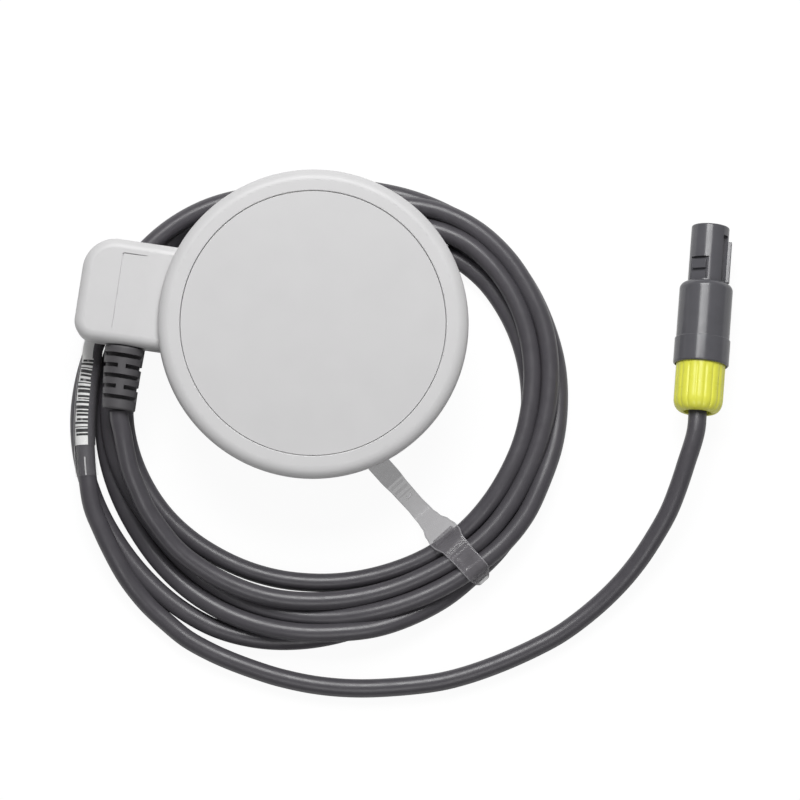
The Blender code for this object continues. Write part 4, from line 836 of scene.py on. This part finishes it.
# Half width of the strap by its distance past the coil's inner edge
STRAP_WIDTHS = (
    (-60.0, 2.85), (-30.0, 2.85), (-25.3, 2.55), (-20.0, 2.45), (-15.9, 2.65), (-13.2, 3.00),
    (-10.2, 3.95), (-7.5, 4.40), (-5.1, 4.30), (-1.6, 3.42), (3.0, 3.20), (200.0, 3.15),
)
# Places across the strap at which its section has points, as shares of the half width
STRAP_SHARES = (-1.0, -0.93, -0.8, -0.6, -0.4, -0.2, 0.0, 0.2, 0.4, 0.6, 0.8, 0.93, 1.0)
RIBS_START, RIBS_END, RIB_PITCH, RIB_HEIGHT = -31.5, -23.5, 1.6, 0.26
BAR_START, BAR_END, BAR_HEIGHT = -22.9, -22.1, 0.55


def strap_half_width(s):
    for (a, wide_a), (b, wide_b) in zip(STRAP_WIDTHS, STRAP_WIDTHS[1:]):
        if s <= b:
            t = (s - a) / (b - a)
            t = t * t * (3 - 2 * t)
            return wide_a + (wide_b - wide_a) * t
    return STRAP_WIDTHS[-1][1]


def strap_lift(s, y):
    """Height of the ribs and the pawl's bar, and depth of the pocket, on the strap's face."""
    lift = 0.0
    if RIBS_START < s < RIBS_END:
        lift = RIB_HEIGHT * max(0.0, math.sin((s - RIBS_START) * 2 * math.pi / RIB_PITCH)) ** 0.6
    if BAR_START < s < BAR_END and -2.2 < y < 0.6:
        lift = BAR_HEIGHT
    if 1.2 < s < 5.4 and abs(y) < 1.5:
        lift = -0.16
    return lift


def strap_row(p, out, s, width):
    """The strap's section at a point of its middle line: face first, then back."""
    half = STRAP_HALF_UNDER if p.y < 0.35 and s > 5 else STRAP_HALF
    row = []
    for share in STRAP_SHARES:
        edge = 0.55 if abs(share) == 1.0 else 1.0
        lift = strap_lift(s, -share * width) if abs(share) < 0.95 else 0.0
        row.append((p + out * (half * edge + lift), share * width))
    for share in STRAP_SHARES[::-1]:
        edge = 0.55 if abs(share) == 1.0 else 1.0
        row.append((p - out * half * edge, share * width))
    return row


def paint_strap(made, runs):
    """Painted highlight on the strap's edges and on its bar; painted shade on the ribs and on the tail
    under the disc.
    """
    for finish in (STRAP_EDGE_HIGHLIGHT, STRAP_RIB_SHADE, STRAP_BAR_HIGHLIGHT):
        made.data.materials.append(finish)
    edges, ribs, bar = 1, 2, 3
    across, last = 2 * len(STRAP_SHARES), len(STRAP_SHARES) - 1
    for face in made.data.polygons[: (len(runs) - 1) * across]:
        row, j = divmod(face.index, across)
        s = runs[row]
        # Bar faces take the painted highlight
        if BAR_START < s < BAR_END - 0.1 and 5 <= j <= 8:
            face.material_index = bar
        # Painted shade: the tail under the disc and the lines between the ribs
        elif s < -27.8 or (s < -23.6 and 2 <= j <= 9 and s % RIB_PITCH < 0.7):
            face.material_index = ribs
        # Edge faces take the painted highlight
        elif j in (0, last - 1, last, last + 1, across - 2, across - 1):
            face.material_index = edges


def make_strap():
    tail, around = ribbon_line()
    path = [p / MM for p in smooth_path([(x, z, 0.0) for x, z in [*tail, *around]], 0.0002)]
    runs = run_lengths(path)
    knee = next(run for p, run in zip(path, runs) if p.x >= around[0][0])
    outermost = max(p.x for p in path)
    bm = bmesh.new()
    rows = []
    for k, (p, run) in enumerate(zip(path, runs)):
        along = along_at(path, k)
        out = Vector((-along.y, along.x, 0.0))
        s = run - knee
        width = strap_half_width(s)
        past = p.x - outermost + STRAP_END_ROUND
        if s > 8 and past > 0:
            width *= math.sqrt(1.0 - 0.80 * (past / STRAP_END_ROUND) ** 2)
        if run < STRAP_ROUND:
            width = math.sqrt(max(STRAP_ROUND**2 - (STRAP_ROUND - run) ** 2, 0.04))
        rows.append([bm.verts.new((q.x, q.y, -y)) for q, y in strap_row(p, out, s, width)])
    for a, b in zip(rows, rows[1:]):
        bridge(bm, a, b)
    bm.faces.new(rows[0])
    bm.faces.new(rows[-1])
    made = to_object(bm, "coil_strap", STRAP, strap_frame())
    paint_strap(made, [run - knee for run in runs])
    return smooth(made, 40.0, False)


# Plug

def make_latch_body():
    """Nose with its latch window, a tooth and a block in the window, a keyway and a key."""
    bore, nose, start, end, edge = NOSE_BORE, NOSE_R, NOSE_START, LATCH_END, 0.4
    shoulder, rear, body = 19.0, PLUG_SPLIT - CLEAR, 5.7
    profile = [(bore, start + 0.3), *arc(bore + 0.3, start + 0.3, 0.3, 180, 270, 3)]
    profile += arc(nose - edge, start + edge, edge, 270, 360, 5)
    profile += [(nose, shoulder), (body, shoulder), (body, rear), (bore, rear)]
    made = lathe("plug_nose", profile, 96, PLUG, plug_frame())
    window, keyway, key = plug_frame(WINDOW_TURN), plug_frame(KEYWAY_TURN), plug_frame(KEY_TURN)
    floor, sunk, over = nose - 1.0, nose - 1.4, 9.9
    tooth = LATCH_HALF * 0.78
    return smooth(combine(
        made,
        ("-", box("window", (-LATCH_HALF, floor, LATCH_START), (LATCH_HALF, over, end), window)),
        ("-", box("keyway", (-1.1, floor, 2.9), (1.1, over, end), keyway)),
        ("+", rounded(box("tooth", (-tooth, sunk, 9.9), (tooth, nose - 0.15, 12.4), window), 0.25, 2)),
        ("+", box("block", (-tooth, sunk, 13.2), (tooth, nose - 0.30, end), window)),
        ("+", rounded(box("key", (-0.8, floor, 4.2), (0.8, nose + 0.9, end), key), 0.2, 2)),
    ))


def make_release_sleeve():
    """Outer sleeve with a collar at its rear, bored in steps for the nose, its body and the nut."""
    front, body_from, nut_from, rear = 15.6, 17.5, 31.1, 37.4
    nose_bore, body_bore, nut_bore = 5.25, 6.0, 6.75
    collar, outer, wide, edge = rear - 6.8, 6.95, 7.25, 1.8
    profile = [(nose_bore, front), *arc(outer - edge, front + edge, edge, -75, 0, 10)]
    profile += [(outer, collar - 0.35), *arc(wide - 0.25, collar + 0.15, 0.25, -90, 0, 3)]
    profile += [*arc(wide - 0.5, rear - 0.5, 0.5, 0, 90, 5), (nut_bore, rear), (nut_bore, nut_from)]
    profile += [(body_bore, nut_from), (body_bore, body_from), (nose_bore, body_from)]
    return smooth(lathe("pull_sleeve", profile, 128, PLUG, plug_frame()))


def quarter(across, up, steps):
    """Points on a quarter of an oval, from its side to its top."""
    turns = [math.radians(90.0 / steps * k) for k in range(steps + 1)]
    return [(across * math.cos(turn), up * math.sin(turn)) for turn in turns]


def make_nut():
    """Nut with a domed end and flutes behind the sleeve's collar."""
    start, end, big, small, dome, hollow, bore = PLUG_SPLIT, PLUG_LENGTH, 6.45, 4.0, 3.4, 5.0, 3.6
    flutes_from, flutes_inside, flute_depth, flute_pairs = 37.6, 4.6, 0.24, 9

    def fluted(r, z, turn):
        if z < flutes_from or r < flutes_inside:
            return r
        share = min(1.0, (z - flutes_from) / 0.8) * min(1.0, max(0.0, (r - flutes_inside) / 1.2))
        return r - flute_depth * share * (1.0 - abs(math.sin(flute_pairs * turn))) ** 1.8

    profile = [(hollow, start), (big - 0.15, start), (big, start + 0.15), (big, 37.5), (big, 37.7)]
    profile += [(big, 38.0 + 0.6 * k) for k in range(14)]
    profile += [(small + x, end - dome + z) for x, z in quarter(big - small, dome, 10)]
    profile += [(bore + 0.15, end), (bore, end - 0.15), (bore, end - dome), (hollow, end - dome)]
    return smooth(lathe("cable_nut", profile, 192, NUT, plug_frame(), fluted), 40.0)


# Nodes of the CAD that stay as they are

NODE_FINISHES = {
    "belt_stud": STUD, "seal_ring": SEAL, "crystal_carrier": CARRIER, "backing_foam": FOAM,
    "circuit_board": BOARD, "shield_can": TINPLATE, "amplifier_chip": CHIP, "board_header": CHIP,
    "inner_lead": INNER, "cable_clamp": CLAMP, "cable_collet": COLLET, "contact_insert": INSERT,
    "crystal_": CERAMIC, "contact_pin_": GOLD, "shell_screw": STEEL, "stud_screw": STEEL,
    "board_screw": STEEL, "clamp_screw": STEEL,
}


def dress_nodes():
    """Finishes by the start of a node's name, the longest that fits."""
    for node in bpy.data.objects:
        name = node.get("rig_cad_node") or ""
        fitting = [start for start in NODE_FINISHES if name.startswith(start)]
        if fitting:
            for slot in node.material_slots:
                slot.material = NODE_FINISHES[max(fitting, key=len)]


# Floor, backdrop and light

FLOOR_REACH, FLOOR_TONE = 2.0, 0.80
FLOOR_GLOW, FLOOR_GLOW_SHARE = 1.05, 0.89
ROOM_LIGHT = 0.13
LIGHT_AIM = Vector((0.02, -0.02, 0.0))


def make_floor():
    """Pale floor, seen by the camera as nearly white but for the object's shadow."""
    r = FLOOR_REACH
    bm = bmesh.new()
    bm.faces.new([bm.verts.new((x, y, 0.0)) for x, y in ((-r, -r), (r, -r), (r, r), (-r, r))])
    mesh = bpy.data.meshes.new("floor")
    bm.to_mesh(mesh)
    bm.free()
    made = bpy.data.materials.new("floor_finish")
    made.use_nodes = True
    nodes, links = made.node_tree.nodes, made.node_tree.links
    shader = nodes["Principled BSDF"]
    shader.inputs["Base Color"].default_value = (FLOOR_TONE, FLOOR_TONE, FLOOR_TONE, 1.0)
    shader.inputs["Roughness"].default_value = 0.9
    shader.inputs["Specular IOR Level"].default_value = 0.0
    glow = nodes.new("ShaderNodeEmission")
    glow.inputs["Strength"].default_value = FLOOR_GLOW
    path = nodes.new("ShaderNodeLightPath")
    share = nodes.new("ShaderNodeMath")
    share.operation = "MULTIPLY"
    share.inputs[1].default_value = FLOOR_GLOW_SHARE
    mix = nodes.new("ShaderNodeMixShader")
    links.new(path.outputs["Is Camera Ray"], share.inputs[0])
    links.new(share.outputs[0], mix.inputs[0])
    links.new(shader.outputs[0], mix.inputs[1])
    links.new(glow.outputs[0], mix.inputs[2])
    links.new(mix.outputs[0], nodes["Material Output"].inputs["Surface"])
    link("floor", mesh, made)


def lamp(name, place, size, power):
    """A soft panel of light that faces the object."""
    data = bpy.data.lights.new(name, "AREA")
    data.shape = "RECTANGLE"
    data.size, data.size_y = size
    data.energy = power
    made = bpy.data.objects.new(name, data)
    made.location = place
    made.rotation_mode = "QUATERNION"
    made.rotation_quaternion = (Vector(place) - LIGHT_AIM).to_track_quat("Z", "Y")
    bpy.context.scene.collection.objects.link(made)


def make_light():
    """Key behind the object, fill in front, and a dim room that the camera sees as white."""
    lamp("key", (-0.06, 0.45, 0.68), (0.50, 0.42), 6.5)
    lamp("fill", (0.15, -0.60, 0.85), (0.60, 0.45), 2.1)
    world = bpy.data.worlds.new("studio")
    bpy.context.scene.world = world
    world.use_nodes = True
    nodes, links = world.node_tree.nodes, world.node_tree.links
    room = nodes["Background"]
    room.inputs["Color"].default_value = (1.0, 1.0, 1.0, 1.0)
    room.inputs["Strength"].default_value = ROOM_LIGHT
    white = nodes.new("ShaderNodeBackground")
    white.inputs["Strength"].default_value = 1.0
    path = nodes.new("ShaderNodeLightPath")
    either = nodes.new("ShaderNodeMath")
    either.operation = "MAXIMUM"
    mix = nodes.new("ShaderNodeMixShader")
    links.new(path.outputs["Is Camera Ray"], either.inputs[0])
    links.new(path.outputs["Is Transmission Ray"], either.inputs[1])
    links.new(either.outputs[0], mix.inputs[0])
    links.new(room.outputs[0], mix.inputs[1])
    links.new(white.outputs[0], mix.inputs[2])
    links.new(mix.outputs[0], nodes["World Output"].inputs["Surface"])


# The scene

make_camera()
lead = make_lead()
label = make_label()
cover = make_sleeve()
strap = finish_piece(make_strap(), ["cable_strap"])
finish_piece(make_front_shell(), ["front_shell"])
finish_piece(make_rear_shell(), ["rear_shell"])
finish_piece(make_window(), ["face_plate"])
finish_piece(make_relief(), ["strain_relief"])
nose = finish_piece(make_latch_body(), ["latch_body"])
sleeve = finish_piece(make_release_sleeve(), ["release_sleeve"], "release_sleeve")
nut = finish_piece(make_nut(), ["collet_nut"])
dress_nodes()
make_floor()
make_light()
